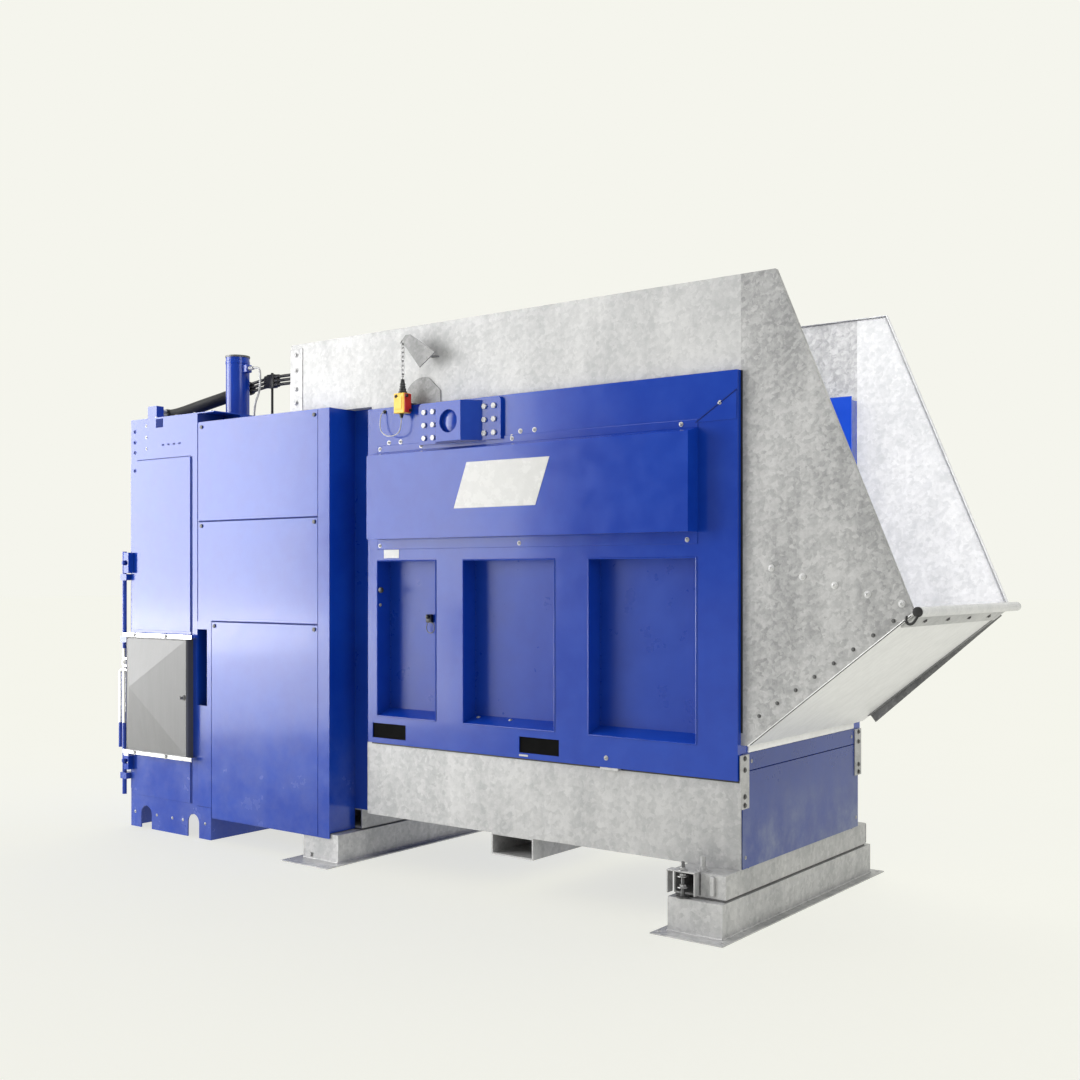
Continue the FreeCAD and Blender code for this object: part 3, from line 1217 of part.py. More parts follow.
# ---------------------------------------------------------------- fasteners
bolts = []
for name, side in SIDES:
    outer = side * (d.frame_face + d.flange_thick)
    head_y = outer if side > 0 else outer - d.bolt_head
    for sx in (-1, 1):
        for column in (0, 1):
            x = d.shaft_x + sx * (d.flange_bolt_x + column * d.flange_bolt_gap)
            for row in (-1, 0, 1):
                bolts.append(hexagon("y", x, head_y, d.shaft_z + row * d.flange_bolt_rise,
                                     d.bolt_radius, d.bolt_head))
for centre, length in CROSS_MEMBERS:
    for side in (-1, 1):
        y = side * (length / 2 - d.level_inset)
        bolts.append(join(
            rod("z", centre, y, cross_bottom, d.level_radius, d.level_length),
            hexagon("z", centre, y, cross_top, d.level_nut_radius, d.level_nut_height)))
gather(bolts, "machine_bolts")

# ---------------------------------------------------------------- check and export
doc.recompute()
for obj in doc.Objects:
    if "Invalid" in obj.State or "Error" in obj.State:
        raise RuntimeError(f"{obj.Label} failed: {obj.State}")
for obj in NODES:
    shape = obj.Shape
    if shape.isNull() or not shape.isValid() or not shape.Solids:
        raise RuntimeError(f"{obj.Label} has no valid solid")
    shape.exportStep(f"parts/{obj.Label}.step")
whole = Part.makeCompound([obj.Shape for obj in NODES]).BoundBox
print(f"{len(NODES)} sub-parts")
print(f"x {whole.XMin:.1f} {whole.XMax:.1f}  y {whole.YMin:.1f} {whole.YMax:.1f}  "
      f"z {whole.ZMin:.1f} {whole.ZMax:.1f}")
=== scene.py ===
# %% [markdown]
# # Recycling baler
#
# A channel baler for paper and board: waste falls down the hopper, a swinging arm packs it into
# the press chamber under the blue side frames, and the press tower at the far end squeezes it
# against the bale door. The solids come from the packed model. They could be modelled again here,
# but two sets of sizes would drift apart, so this notebook gives every solid its finish and adds
# the small work that a fitter would add last: bolts, washers, glands and crimped hose ends, and
# also dark strips of painted shade in joints and slots, and the light that they are seen in.

# %% Load the packed model
import json
import math

import bmesh
import bpy
from mathutils import Matrix, Vector


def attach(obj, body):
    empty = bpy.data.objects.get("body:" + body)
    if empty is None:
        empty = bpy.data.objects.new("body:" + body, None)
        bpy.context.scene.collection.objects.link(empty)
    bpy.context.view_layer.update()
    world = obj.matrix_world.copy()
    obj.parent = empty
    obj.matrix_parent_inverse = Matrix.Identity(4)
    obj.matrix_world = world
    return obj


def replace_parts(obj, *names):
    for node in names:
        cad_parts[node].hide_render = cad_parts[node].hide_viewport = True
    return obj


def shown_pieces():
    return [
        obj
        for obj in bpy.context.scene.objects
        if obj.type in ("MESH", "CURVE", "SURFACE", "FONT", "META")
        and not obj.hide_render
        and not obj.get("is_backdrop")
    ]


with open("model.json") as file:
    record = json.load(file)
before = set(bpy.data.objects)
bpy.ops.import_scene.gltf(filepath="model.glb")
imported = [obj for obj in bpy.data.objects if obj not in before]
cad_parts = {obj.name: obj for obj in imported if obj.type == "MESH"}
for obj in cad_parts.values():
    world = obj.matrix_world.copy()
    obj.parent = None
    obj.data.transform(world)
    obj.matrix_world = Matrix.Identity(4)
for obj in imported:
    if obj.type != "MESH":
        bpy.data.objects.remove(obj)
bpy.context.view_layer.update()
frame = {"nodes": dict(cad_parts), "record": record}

nodes = frame["nodes"]

# %% [markdown]
# ## The camera
#
# The picture is taken from head height, off the front right corner. A camera could be tilted to
# bring the machine into the frame, but then its upright edges would lean. A level camera with
# its lens shifted a little keeps them upright.

# %% Camera
lens = bpy.data.cameras.new("lens")
lens.lens = 42.69
lens.sensor_width = 36.0
lens.shift_y = 0.0344
lens.clip_end = 200.0
camera = bpy.data.objects.new("camera", lens)
camera.location = (4.555, -5.775, 1.6)
camera.rotation_euler = (math.radians(90), 0, math.radians(37.108))
bpy.context.scene.collection.objects.link(camera)
bpy.context.scene.camera = camera
bpy.context.scene.view_settings.view_transform = "Standard"
print("camera stands at", tuple(camera.location))

# %% [markdown]
# ## Finishes
#
# A finish is a tree of nodes, which could be wired up one by one. A script that does so is long
# and hard to follow, so `Wire` stands for one value in the tree and takes part in ordinary
# arithmetic, and a recipe reads as a formula.

# %% Node arithmetic
MIX_FACTOR, MIX_FIRST, MIX_SECOND, MIX_COLOUR = 0, 6, 7, 2


class Wire:
    """One output socket that can be added, subtracted and multiplied like a number."""

    def __init__(self, owner, socket):
        self.owner = owner
        self.socket = socket

    def math(self, operation, *terms):
        return self.owner.node("ShaderNodeMath", {"operation": operation}, terms)

    def __add__(self, other):
        return self.math("ADD", self, other)

    def __radd__(self, other):
        return self.math("ADD", other, self)

    def __sub__(self, other):
        return self.math("SUBTRACT", self, other)

    def __rsub__(self, other):
        return self.math("SUBTRACT", other, self)

    def __mul__(self, other):
        return self.math("MULTIPLY", self, other)

    def __rmul__(self, other):
        return self.math("MULTIPLY", other, self)

    def between(self, low, high):
        """This value's way from low to high, held between 0 and 1 and eased at both ends."""
        settings = {"clamp": True, "interpolation_type": "SMOOTHSTEP"}
        return self.owner.node("ShaderNodeMapRange", settings, (self, low, high, 0.0, 1.0))

    def mix(self, first, second):
        """A colour on the way from first to second, at this value."""
        inputs = {MIX_FACTOR: self, MIX_FIRST: first, MIX_SECOND: second}
        return self.owner.node("ShaderNodeMix", {"data_type": "RGBA"}, inputs, MIX_COLOUR)


print("a wire can", [name for name in vars(Wire) if not name.startswith("_")])

# %% [markdown]
# `Tree` has the one method that adds any other node, for the finishes and for the sky at the
# end. `Finish` adds the shader and the few textures that the baler's surfaces are made of. They
# all read the place on the object, so that a pattern stays put when a door or the arm moves.

# %% Node trees


class Tree:
    """A tree of nodes and the method that adds one to it."""

    def __init__(self, tree):
        self.tree = tree

    def node(self, kind, settings, inputs=(), output=0):
        made = self.tree.nodes.new(kind)
        for name, value in settings.items():
            setattr(made, name, value)
        pairs = inputs.items() if isinstance(inputs, dict) else enumerate(inputs)
        for key, value in pairs:
            self.feed(made.inputs[key], value)
        return Wire(self, made.outputs[output])

    def feed(self, socket, value):
        """Links a wire to the socket, or sets the socket to a plain value."""
        if isinstance(value, Wire):
            self.tree.links.new(value.socket, socket)
        else:
            socket.default_value = value


class Finish(Tree):
    """A material made of one Principled shader and the nodes that feed it."""

    def __init__(self, name):
        self.material = bpy.data.materials.new(name)
        self.material.use_nodes = True
        super().__init__(self.material.node_tree)
        self.shader = self.tree.nodes["Principled BSDF"]
        self.place = self.node("ShaderNodeTexCoord", {}, (), "Object")

    def set(self, **values):
        """Feeds the shader's sockets, named with _ for a space."""
        for name, value in values.items():
            self.feed(self.shader.inputs[name.replace("_", " ")], value)
        return self

    def stretched(self, x, y, z):
        """The place on the object with each direction scaled."""
        settings = {"operation": "MULTIPLY"}
        return self.node("ShaderNodeVectorMath", settings, (self.place, (x, y, z)))

    def noise(self, scale, detail=3.0, rough=0.5, place=None):
        inputs = {"Vector": place or self.place, "Scale": scale, "Detail": detail,
                  "Roughness": rough, "Distortion": 0.0}
        return self.node("ShaderNodeTexNoise", {}, inputs)

    def cells(self, scale, place=None, output="Color"):
        inputs = {"Vector": place or self.place, "Scale": scale}
        return self.node("ShaderNodeTexVoronoi", {"feature": "F1"}, inputs, output)

    def split(self, vector):
        """The three numbers of a vector or colour."""
        made = self.node("ShaderNodeSeparateXYZ", {}, (vector,))
        outputs = made.socket.node.outputs
        return [Wire(self, outputs[axis]) for axis in "XYZ"]

    def bump(self, height, depth, under=None):
        inputs = {"Height": height, "Distance": depth, "Strength": 1.0}
        if under is not None:
            inputs["Normal"] = under
        return self.node("ShaderNodeBump", {}, inputs)


def grey(value, warm=0.0):
    """An even grey, a touch warm or cool."""
    return (value * (1 + warm), value, value * (1 - warm), 1.0)


print("a finish can", [name for name in vars(Finish) if not name.startswith("_")])

# %% [markdown]
# ### Gloss blue paint
#
# The frames, doors and cabinet are powder coated. The coat has a fine orange peel, and is
# smooth enough to show the lights as broad soft bands. Low down, forklift traffic and paper
# dust leave a dull film, and trolleys leave short scuffs. One flat blue would be quicker, but
# large plain panels then look like plastic, so two close blues are mixed by slow noise and the
# wear follows the height above the floor.

# %% Paint
BLUE_DEEP, BLUE_LIGHT = (0.003, 0.036, 0.330, 1), (0.006, 0.052, 0.400, 1)
DUST_TONE, SCUFF_TONE = (0.30, 0.33, 0.42, 1.0), (0.10, 0.14, 0.30, 1.0)
PEEL_SCALE = 210.0


def paint(name, deep, light, gloss=0.16, worn=0.5, haze=(1.1, 0.15)):
    f = Finish(name)
    height = f.split(f.place)[2]
    broad = f.noise(1.3, 3.0, 0.55).between(0.35, 0.65)
    mottle = f.noise(9.0, 4.0, 0.6).between(0.3, 0.7)
    dust = height.between(*haze) * f.noise(3.2, 5.0, 0.65).between(0.3, 0.75) * worn
    marks = f.noise(7.0, 6.0, 0.7, f.stretched(1.0, 1.0, 9.0)).between(0.68, 0.74)
    scuffs = marks * height.between(1.5, 0.3) * worn
    colour = (broad * 0.6 + mottle * 0.4).mix(deep, light)
    colour = (dust * 0.28).mix(colour, DUST_TONE)
    colour = (scuffs * 0.12).mix(colour, SCUFF_TONE)
    peel = f.noise(PEEL_SCALE, 2.0, 0.5)
    waves = f.noise(5.0, 2.0, 0.5)
    normal = f.bump(peel, 0.00022, f.bump(waves, 0.0012))
    rough = gloss + mottle * 0.05 + dust * 0.25 + scuffs * 0.04
    return f.set(Base_Color=colour, Roughness=rough, Normal=normal, IOR=1.5,
                 Specular_IOR_Level=0.42, Coat_Weight=0.2, Coat_Roughness=0.08)


blue_paint = paint("blue_paint", BLUE_DEEP, BLUE_LIGHT)
frame_paint = paint("frame_paint", BLUE_DEEP, BLUE_LIGHT, worn=0.2)
# The chamber walls, which close the backs of the recesses, get a slightly darker blue than the frames:
# painted shade in the recesses.
wall_paint = paint("wall_paint", (0.003, 0.034, 0.310, 1), (0.005, 0.048, 0.380, 1), 0.27, 0.2)
wall_paint.set(Coat_Weight=0.0)
door_paint = paint("door_paint", (0.004, 0.040, 0.350, 1), (0.008, 0.056, 0.420, 1), 0.14, 0.7)
# The end panels get a darker blue, and a mask at three and a half times its strength, below 0.7 m,
# turns them greyer and lighter towards the bottom.
end_paint = paint("end_paint", (0.003, 0.026, 0.200, 1), (0.006, 0.036, 0.250, 1), 0.26, 3.4,
                  (0.70, 0.30))
print("paints", blue_paint.material.name, door_paint.material.name)

# %% [markdown]
# Between two lift-off panels there is a gap that light hardly reaches. It could be cut into the
# solids, but a thin dark strip laid in its place looks the same from a step away and leaves the
# panels whole, so the strip's dull blue black is painted shade.

# %% Shadow in the gaps
shadow_gap = Finish("shadow_gap")
gap_shade_tone = shadow_gap.noise(20.0).mix((0.006, 0.018, 0.13, 1), (0.010, 0.028, 0.19, 1))
shadow_gap.set(Base_Color=gap_shade_tone, Roughness=0.7, Specular_IOR_Level=0.12)
print("gaps", shadow_gap.material.name)

# %% [markdown]
# ### Zinc
#
# Beams, hopper and feet are hot dip galvanised, and the zinc freezes in flat crystals, each with
# its own sheen, under cloudy drain marks that run downwards. A picture of zinc would repeat
# itself on sheets this long. Cells with frayed borders give crystals of any size, and noise
# stretched along Z gives the drain marks.

# %% Zinc


def galvanised(name, low, high, crystal=42.0, rough=0.42, metallic=0.82):
    f = Finish(name)
    edge = f.noise(17.0, 4.0, 0.65)
    fray = f.node("ShaderNodeCombineXYZ", {}, (edge * 0.09, edge * 0.05, edge * 0.07))
    frayed = f.node("ShaderNodeVectorMath", {"operation": "ADD"}, (f.place, fray))
    flake = f.split(f.cells(crystal, frayed))
    feather = f.noise(34.0, 6.0, 0.72)
    fern = f.noise(13.0, 5.0, 0.7)
    clouds = f.noise(2.1, 5.0, 0.6, f.stretched(1.0, 1.0, 0.45))
    drains = f.noise(11.0, 4.0, 0.6, f.stretched(1.0, 1.0, 0.12))
    speck = f.noise(160.0, 2.0, 0.6).between(0.6, 0.75)
    tone = flake[0] * 0.24 + clouds.between(0.3, 0.7) * 0.30 + drains.between(0.3, 0.7) * 0.14
    tone = tone + feather.between(0.25, 0.75) * 0.20 + fern.between(0.25, 0.75) * 0.12
    tone = tone.between(0.08, 0.92)
    colour = tone.mix(grey(low, -0.01), grey(high, 0.004))
    colour = (speck * 0.25).mix(colour, grey(low * 0.75))
    normal = f.bump(flake[1] * 0.3 + f.noise(75.0, 3.0, 0.6) * 0.7, 0.00025)
    return f.set(Base_Color=colour, Metallic=metallic, Normal=normal,
                 Roughness=rough + flake[2] * 0.10 - clouds * 0.06 + speck * 0.08)


zinc = galvanised("zinc", 0.34, 0.56, metallic=0.35)
zinc_hopper = galvanised("zinc_hopper", 0.40, 0.60, 52.0, 0.55, 0.2)
zinc_chute = galvanised("zinc_chute", 0.24, 0.56, 56.0, 0.46, 0.3)
# The darkest zinc is also painted shade on the chute's stiffening angle.
zinc_dark = galvanised("zinc_dark", 0.16, 0.34, 60.0, 0.5, 0.3)
zinc_feet = galvanised("zinc_feet", 0.36, 0.60, 46.0, 0.46, 0.35)
zinc_bright = galvanised("zinc_bright", 0.58, 0.72, 60.0, 0.36, 0.25)
print("zinc", zinc.material.name, zinc_bright.material.name)

# %% [markdown]
# ### Stainless and plain steel
#
# The hood is brushed, the press rods are ground and chromed, and the chute and floors are bare
# plate, worn bright along the way that the waste slides. A shader's anisotropy could draw
# out the shine, but no grain would show in it. Very fine noise, drawn out along the grain, moves
# the tone, the roughness and the bump together.

# %% Steel


def brushed(name, tone, along, rough=0.3, metallic=1.0, stain=0.2):
    """Rolled or brushed plate, its grain drawn along the given direction (x, y, z)."""
    f = Finish(name)

    def drawn(keep):
        return f.stretched(*[keep if axis else 1.0 for axis in along])

    grain = f.noise(420.0, 3.0, 0.65, drawn(0.012))
    streak = f.noise(26.0, 4.0, 0.6, drawn(0.05))
    blot = f.noise(2.6, 5.0, 0.65)
    shade = grain.between(0.3, 0.7) * 0.3 + streak.between(0.3, 0.7) * 0.4
    shade = shade + blot.between(0.3, 0.7) * 0.3
    colour = shade.mix(grey(tone * 0.82), grey(tone))
    colour = (blot.between(0.56, 0.72) * stain).mix(colour, grey(tone * 0.6, 0.04))
    return f.set(Base_Color=colour, Metallic=metallic,
                 Roughness=rough + streak * 0.10 + grain * 0.06, Normal=f.bump(grain, 0.00006))


bare_steel = brushed("bare_steel", 0.60, (1, 0, 0), 0.34, 0.9)
chute_steel = brushed("chute_steel", 0.84, (1, 0, 0), 0.38, 0.45)
stainless = brushed("stainless", 0.21, (0, 0, 1), 0.44, 0.3, 0.1)
bolt_zinc = brushed("bolt_zinc", 0.46, (0, 0, 1), 0.36, 0.9, 0.3)
rod_chrome = brushed("rod_chrome", 0.78, (0, 0, 1), 0.08, 1.0, 0.05)
dark_steel = brushed("dark_steel", 0.17, (0, 0, 1), 0.42, 0.8, 0.3)
print("steel", bare_steel.material.name, stainless.material.name)

# %% [markdown]
# The lever tube of the lock bar and the bright part of the rails are bare, with painted steel
# above and below. The pieces could be cut in two at each border, but they are one solid each, so
# the finish itself changes from paint to steel at two heights.

# %% Handled steel


def handled(name, low, high):
    """Blue paint, left bare and polished by hands between two heights."""
    f = Finish(name)
    height = f.split(f.place)[2]
    bare = height.between(low - 0.003, low + 0.003) * height.between(high + 0.003, high - 0.003)
    mottle = f.noise(9.0, 4.0, 0.6).between(0.3, 0.7)
    paint_tone = mottle.mix(BLUE_DEEP, BLUE_LIGHT)
    steel_tone = mottle.mix(grey(0.62), grey(0.78))
    return f.set(Base_Color=bare.mix(paint_tone, steel_tone), Metallic=bare * 0.95,
                 Roughness=0.18 + mottle * 0.06,
                 Normal=f.bump(f.noise(PEEL_SCALE, 2.0, 0.5), 0.0001))


lock_finish = handled("lock_finish", 0.66, 1.14)
rail_finish = handled("rail_finish", 0.452, 1.262)
print("handled", lock_finish.material.name, rail_finish.material.name)

# %% [markdown]
# ### Rubber and mouldings
#
# The hoses have a fabric-pressed rubber cover, so a fine diagonal weave shows in it. The pull
# switch and the panel locks are moulded, with the slight grain of their tools. Modelled threads
# would cost millions of faces for something that is seen only as a softer shine, so two crossed
# sine waves and small cells do it in the bump.

# %% Mouldings


def moulded(name, low, high, rough=0.42, grain=0.00012, scale=320.0):
    f = Finish(name)
    tone = f.noise(14.0, 4.0, 0.6).between(0.3, 0.7)
    skin = f.cells(scale, output="Distance")
    rub = f.noise(45.0, 4.0, 0.7).between(0.6, 0.8)
    return f.set(Base_Color=tone.mix(low, high), Roughness=rough + tone * 0.08 + rub * 0.1,
                 Normal=f.bump(skin, grain))


def rubber(name):
    f = Finish(name)
    x, y, z = f.split(f.place)
    weave, cross = (f.node("ShaderNodeMath", {"operation": "SINE"}, (slant * 1400.0,))
                    for slant in (x + y + z, x + y - z))
    bloom = f.noise(6.0, 4.0, 0.6).between(0.35, 0.75)
    colour = bloom.mix(grey(0.010), grey(0.026, 0.03))
    return f.set(Base_Color=colour, Roughness=0.42 + bloom * 0.2,
                 Normal=f.bump(weave * cross, 0.00012))


hose_rubber = rubber("hose_rubber")
black_plastic = moulded("black_plastic", grey(0.012), grey(0.022), 0.35)
# A matte black for the painted shade inside the fork slots.
slot_shade_black = moulded("slot_shade_black", grey(0.003), grey(0.006), 0.8)
slot_shade_black.set(Specular_IOR_Level=0.06)
yellow_plastic = moulded("yellow_plastic", (0.78, 0.48, 0.015, 1), (0.86, 0.55, 0.03, 1), 0.3)
red_plastic = moulded("red_plastic", (0.50, 0.02, 0.012, 1), (0.60, 0.03, 0.02, 1), 0.3)
print("mouldings", hose_rubber.material.name, black_plastic.material.name)

# %% [markdown]
# ### Which solid wears what
#
# Each solid comes with the name of its material in the record. A second list of all sixty solids
# would have to be kept in step with it, so a solid keeps its record's slot unless it needs a
# finish of its own.

# %% Assign finishes
SLOT_FINISH = {
    "blue_paint": blue_paint, "zinc": zinc, "bare_steel": bare_steel, "stainless": stainless,
    "dark_steel": dark_steel, "rod_chrome": rod_chrome, "hose_rubber": hose_rubber,
    "switch_yellow": yellow_plastic, "lock_black": black_plastic,
}
NODE_FINISH = {
    "side_frame_front": frame_paint, "side_frame_rear": frame_paint,
    "chamber_wall_front": wall_paint, "chamber_wall_rear": wall_paint,
    "bale_door": door_paint, "end_panels": end_paint,
    "lock_bar": lock_finish, "tower_brackets": rail_finish,
    # hopper_end wears the darker zinc_chute: painted shade on its flange strip.
    "hopper_side_front": zinc_hopper, "hopper_side_rear": zinc_chute, "hopper_end": zinc_chute,
    "chute_side_front": zinc_chute, "chute_side_rear": zinc_hopper,
    "chute_floor": chute_steel, "chute_lip": zinc_bright, "switch_brackets": zinc_dark,
    "foot_left": zinc_feet, "foot_right": zinc_feet,
}
slot_of = {part["node"]: part["material_slot"] for part in frame["record"]["subparts"]}
for name, solid in nodes.items():
    finish = NODE_FINISH.get(name) or SLOT_FINISH[slot_of[name]]
    solid.data.materials.clear()
    solid.data.materials.append(finish.material)
print("finished", len(nodes), "solids,", len(NODE_FINISH), "with a finish of their own")

# %% [markdown]
# ## Bench helpers
#
# Fasteners are alike all over the machine. Each could be an object, but hundreds of objects are
# slow and hard to name, so repeated fasteners are spun from a short profile, a few dozen faces
# each, and each kind that belongs to one body is one object. A profile is a list of heights and
# radii for a fastener of radius 1.

# %% Fastener profiles
HEX = ((0, 0), (0, 1.0), (0.62, 1.0), (0.72, 0.86), (0.72, 0))
WASHER = ((0, 0), (0, 1.55), (0.2, 1.5), (0.2, 0))
DOME = ((0, 0), (0, 1.0), (0.16, 0.98), (0.42, 0.8), (0.6, 0.45), (0.6, 0.4), (0.3, 0.34), (0.3, 0))
HEX_STEPS, DOME_STEPS, WASHER_STEPS = 6, 14, 16
print("profiles of", len(HEX), len(WASHER), len(DOME), "points")

# %% [markdown]
# Wires, weld beads and pipes are round bars. Rings could be bridged one by one along a path, but
# a curve with a round section does that by itself and keeps an even thickness in the bends.

# %% Round lines


def round_line(name, points, radius, sides=4):
    """A round curve, drawn smooth near the given points."""
    curve = bpy.data.curves.new(name, "CURVE")
    curve.dimensions = "3D"
    curve.bevel_depth = radius
    curve.bevel_resolution = sides
    line = curve.splines.new("NURBS")
    line.points.add(len(points) - 1)
    for point, place in zip(line.points, points):
        point.co = (*place, 1.0)
    line.order_u = 3
    line.use_endpoint_u = True
    made = bpy.data.objects.new(name, curve)
    bpy.context.scene.collection.objects.link(made)
    return made


# %% [markdown]
# `Work` gathers shapes into one mesh: blocks with a broken edge, turned shapes spun from a
# profile, plates cut to an outline and bars along a path. Shapes could be joined as objects, but
# a mesh that grows in memory needs no selection and leaves nothing behind.

# %% Work
SHARP = math.radians(38)


def break_edges(part, broken, steps):
    """Takes the sharpness off every edge, as a file or a thick coat of paint does."""
    if broken:
        bmesh.ops.bevel(part, geom=part.edges[:], offset=broken, offset_type="OFFSET",
                        affect="EDGES", segments=steps, profile=0.5, material=-1)


class Work:
    """One piece of the model, built up from simple shapes."""

    def __init__(self, name, finish, slot, body="frame"):
        self.name = name
        self.finish = finish
        self.slot = slot
        self.body = body
        self.bm = bmesh.new()

    def take(self, part, place=(0, 0, 0), axis=(0, 0, 1), scale=1.0, roll=0.0):
        """Adds a part that was built at the origin along Z."""
        turn = Vector((0, 0, 1)).rotation_difference(Vector(axis)).to_matrix().to_4x4()
        matrix = Matrix.Translation(place) @ turn @ Matrix.Rotation(roll, 4, "Z")
        bmesh.ops.transform(part, matrix=matrix @ Matrix.Scale(scale, 4), verts=part.verts)
        mesh = bpy.data.meshes.new("part")
        part.to_mesh(mesh)
        part.free()
        self.bm.from_mesh(mesh)
        bpy.data.meshes.remove(mesh)

    def block(self, low, high, broken=0.0, steps=2):
        """A box between two corners, its edges broken by that much."""
        part = bmesh.new()
        size = [b - a for a, b in zip(low, high)]
        bmesh.ops.create_cube(part, size=1.0, matrix=Matrix.Diagonal((*size, 1.0)))
        break_edges(part, broken, steps)
        self.take(part, [(a + b) / 2 for a, b in zip(low, high)])

    def turned(self, place, axis, profile, scale=1.0, steps=20, roll=0.0):
        """A profile of (height, radius) pairs spun about the axis."""
        part = bmesh.new()
        verts = [part.verts.new((radius, 0, height)) for height, radius in profile]
        edges = [part.edges.new(pair) for pair in zip(verts, verts[1:])]
        bmesh.ops.spin(part, geom=verts + edges, angle=math.tau, steps=steps,
                       axis=(0, 0, 1), cent=(0, 0, 0), use_merge=True)
        bmesh.ops.remove_doubles(part, verts=part.verts, dist=1e-6)
        self.take(part, place, axis, scale, roll)

    def plate(self, outline, along, thick, broken=0.0):
        """A flat outline of corners, thickened along a direction."""
        part = bmesh.new()
        bmesh.ops.contextual_create(part, geom=[part.verts.new(c) for c in outline])
        shove = [v * thick for v in Vector(along).normalized()]
        moved = bmesh.ops.extrude_face_region(part, geom=part.faces[:], use_keep_orig=True)
        verts = [g for g in moved["geom"] if isinstance(g, bmesh.types.BMVert)]
        bmesh.ops.translate(part, vec=shove, verts=verts)
        bmesh.ops.recalc_face_normals(part, faces=part.faces)
        break_edges(part, broken, 1)
        self.take(part)

    def bar(self, points, radius, sides=4):
        """A round bar whose line is a smooth curve held by the given points."""
        holder = round_line("line", points, radius, sides)
        curve = holder.data
        curve.use_fill_caps = True
        depsgraph = bpy.context.evaluated_depsgraph_get()
        mesh = bpy.data.meshes.new_from_object(holder.evaluated_get(depsgraph))
        self.bm.from_mesh(mesh)
        bpy.data.objects.remove(holder)
        bpy.data.curves.remove(curve)
        bpy.data.meshes.remove(mesh)

    def bolts(self, places, axis, radius, washer=True, head=HEX):
        """The same fastener at each place, its head turned a little differently each time."""
        steps = HEX_STEPS if head is HEX else DOME_STEPS
        seat = Vector(axis).normalized() * (0.2 * radius if washer else 0.0)
        for number, place in enumerate(places):
            if washer:
                self.turned(place, axis, WASHER, radius, WASHER_STEPS)
            self.turned(Vector(place) + seat, axis, head, radius, steps, number * 0.7)

    def done(self, flat=True):
        """Makes the object, gives it its finish and lets it ride on its body."""
        bmesh.ops.remove_doubles(self.bm, verts=self.bm.verts, dist=1e-7)
        bmesh.ops.recalc_face_normals(self.bm, faces=self.bm.faces)
        for face in self.bm.faces:
            face.smooth = not flat
        mesh = bpy.data.meshes.new(self.name)
        self.bm.to_mesh(mesh)
        self.bm.free()
        mesh.materials.append(self.finish.material)
        made = bpy.data.objects.new(self.name, mesh)
        bpy.context.scene.collection.objects.link(made)
        if not flat:
            mesh.set_sharp_from_angle(angle=SHARP)
        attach(made, self.body)
        print(self.name, len(mesh.polygons), "faces")
        return made


print("work can", [name for name in vars(Work) if not name.startswith("_")])

# %% [markdown]
# ## Bolts on the side frames
#
# The side frames are folded sheet, bolted to the chamber walls through the sloping sills of
# their recesses, and more bolts along their upper edge hold what is mounted behind. A bolt could
# be modelled whole, with its thread, but only its head shows, so it is a washer and a spun head,
# seated on the surface that it clamps.

# %% Side frame fasteners
FRONT, REAR, RIGHT, LEFT, UP, DOWN = (
    (0, -1, 0), (0, 1, 0), (1, 0, 0), (-1, 0, 0), (0, 0, 1), (0, 0, -1))
SIDES = ((-1, FRONT), (1, REAR))
FRAME_Y, WALL_Y = 0.675, 0.575
PAN_LOW, PAN_TOP, SILL_RISE, SILL = 0.835, 1.690, 0.034, 0.003
PAN_DEEP = FRAME_Y - WALL_Y - 0.002
SILL_BOLT_OUT = 0.025
SILL_BOLT_Z = PAN_LOW + SILL + SILL_RISE * (1 - SILL_BOLT_OUT / PAN_DEEP)
SILL_BOLTS = {-1: (0.234, 0.449), 1: (-1.52, -0.62, -0.37, 0.234, 0.449, 0.76, 1.03, 1.55)}
FACE_BOLTS = ((-0.341, 2.336), (-0.254, 2.336), (0.334, 2.324), (0.517, 2.313), (0.573, 2.338),
              (0.662, 2.339), (1.716, 2.386))
frame_bolts = Work("frame_bolts", bolt_zinc, "stainless")
for side, facing in SIDES:
    frame_bolts.bolts([(x, side * (WALL_Y + SILL_BOLT_OUT), SILL_BOLT_Z) for x in SILL_BOLTS[side]],
                      (0, side * SILL_RISE, PAN_DEEP), 0.0075, head=DOME)
    frame_bolts.bolts([(x, side * FRAME_Y, z) for x, z in FACE_BOLTS], facing, 0.0085, head=DOME)
    frame_bolts.bolts([(1.095, side * FRAME_Y, 0.731)], facing, 0.008, head=DOME)
frame_bolts.done(flat=False)

# %% [markdown]
# A small catch with a wire ring sits in the left recess, and a knob and a screw stand to its
# left, level with the frame's face. They are too small for solids of their own. A block, a few
# turned shapes and one bent bar say enough at this size.

# %% Recess latch
FRAME_FACE = -FRAME_Y - 0.0002


def stub(height, radius, tip, shoulder, waist=None):
    """The profile of a short solid pin: its foot, its shoulder and its narrower tip."""
    return ((0, 0), (0, radius), (shoulder, waist or radius), (height, tip), (height, 0))


latch = Work("recess_latch", black_plastic, "lock_black")
latch.block((-0.143, -0.597, 1.352), (-0.103, -0.5752, 1.398), 0.005)
latch.turned((-0.397, FRAME_FACE, 1.529), FRONT, stub(0.013, 0.016, 0.012, 0.010))
latch.turned((-0.123, -0.597, 1.385), FRONT, stub(0.014, 0.012, 0.008, 0.012, 0.011))
latch.done(flat=False)
RING = 0.030
ring = Work("latch_loop", dark_steel, "dark_steel")
ring.bar([(-0.110 + RING * math.sin(a), -0.594, 1.326 + RING * math.cos(a))
          for a in (k * math.tau / 12 - 0.2 for k in range(12))], 0.0026)
ring.turned((-0.405, FRAME_FACE, 1.447), FRONT, DOME, 0.0095, 16)
ring.done(flat=False)

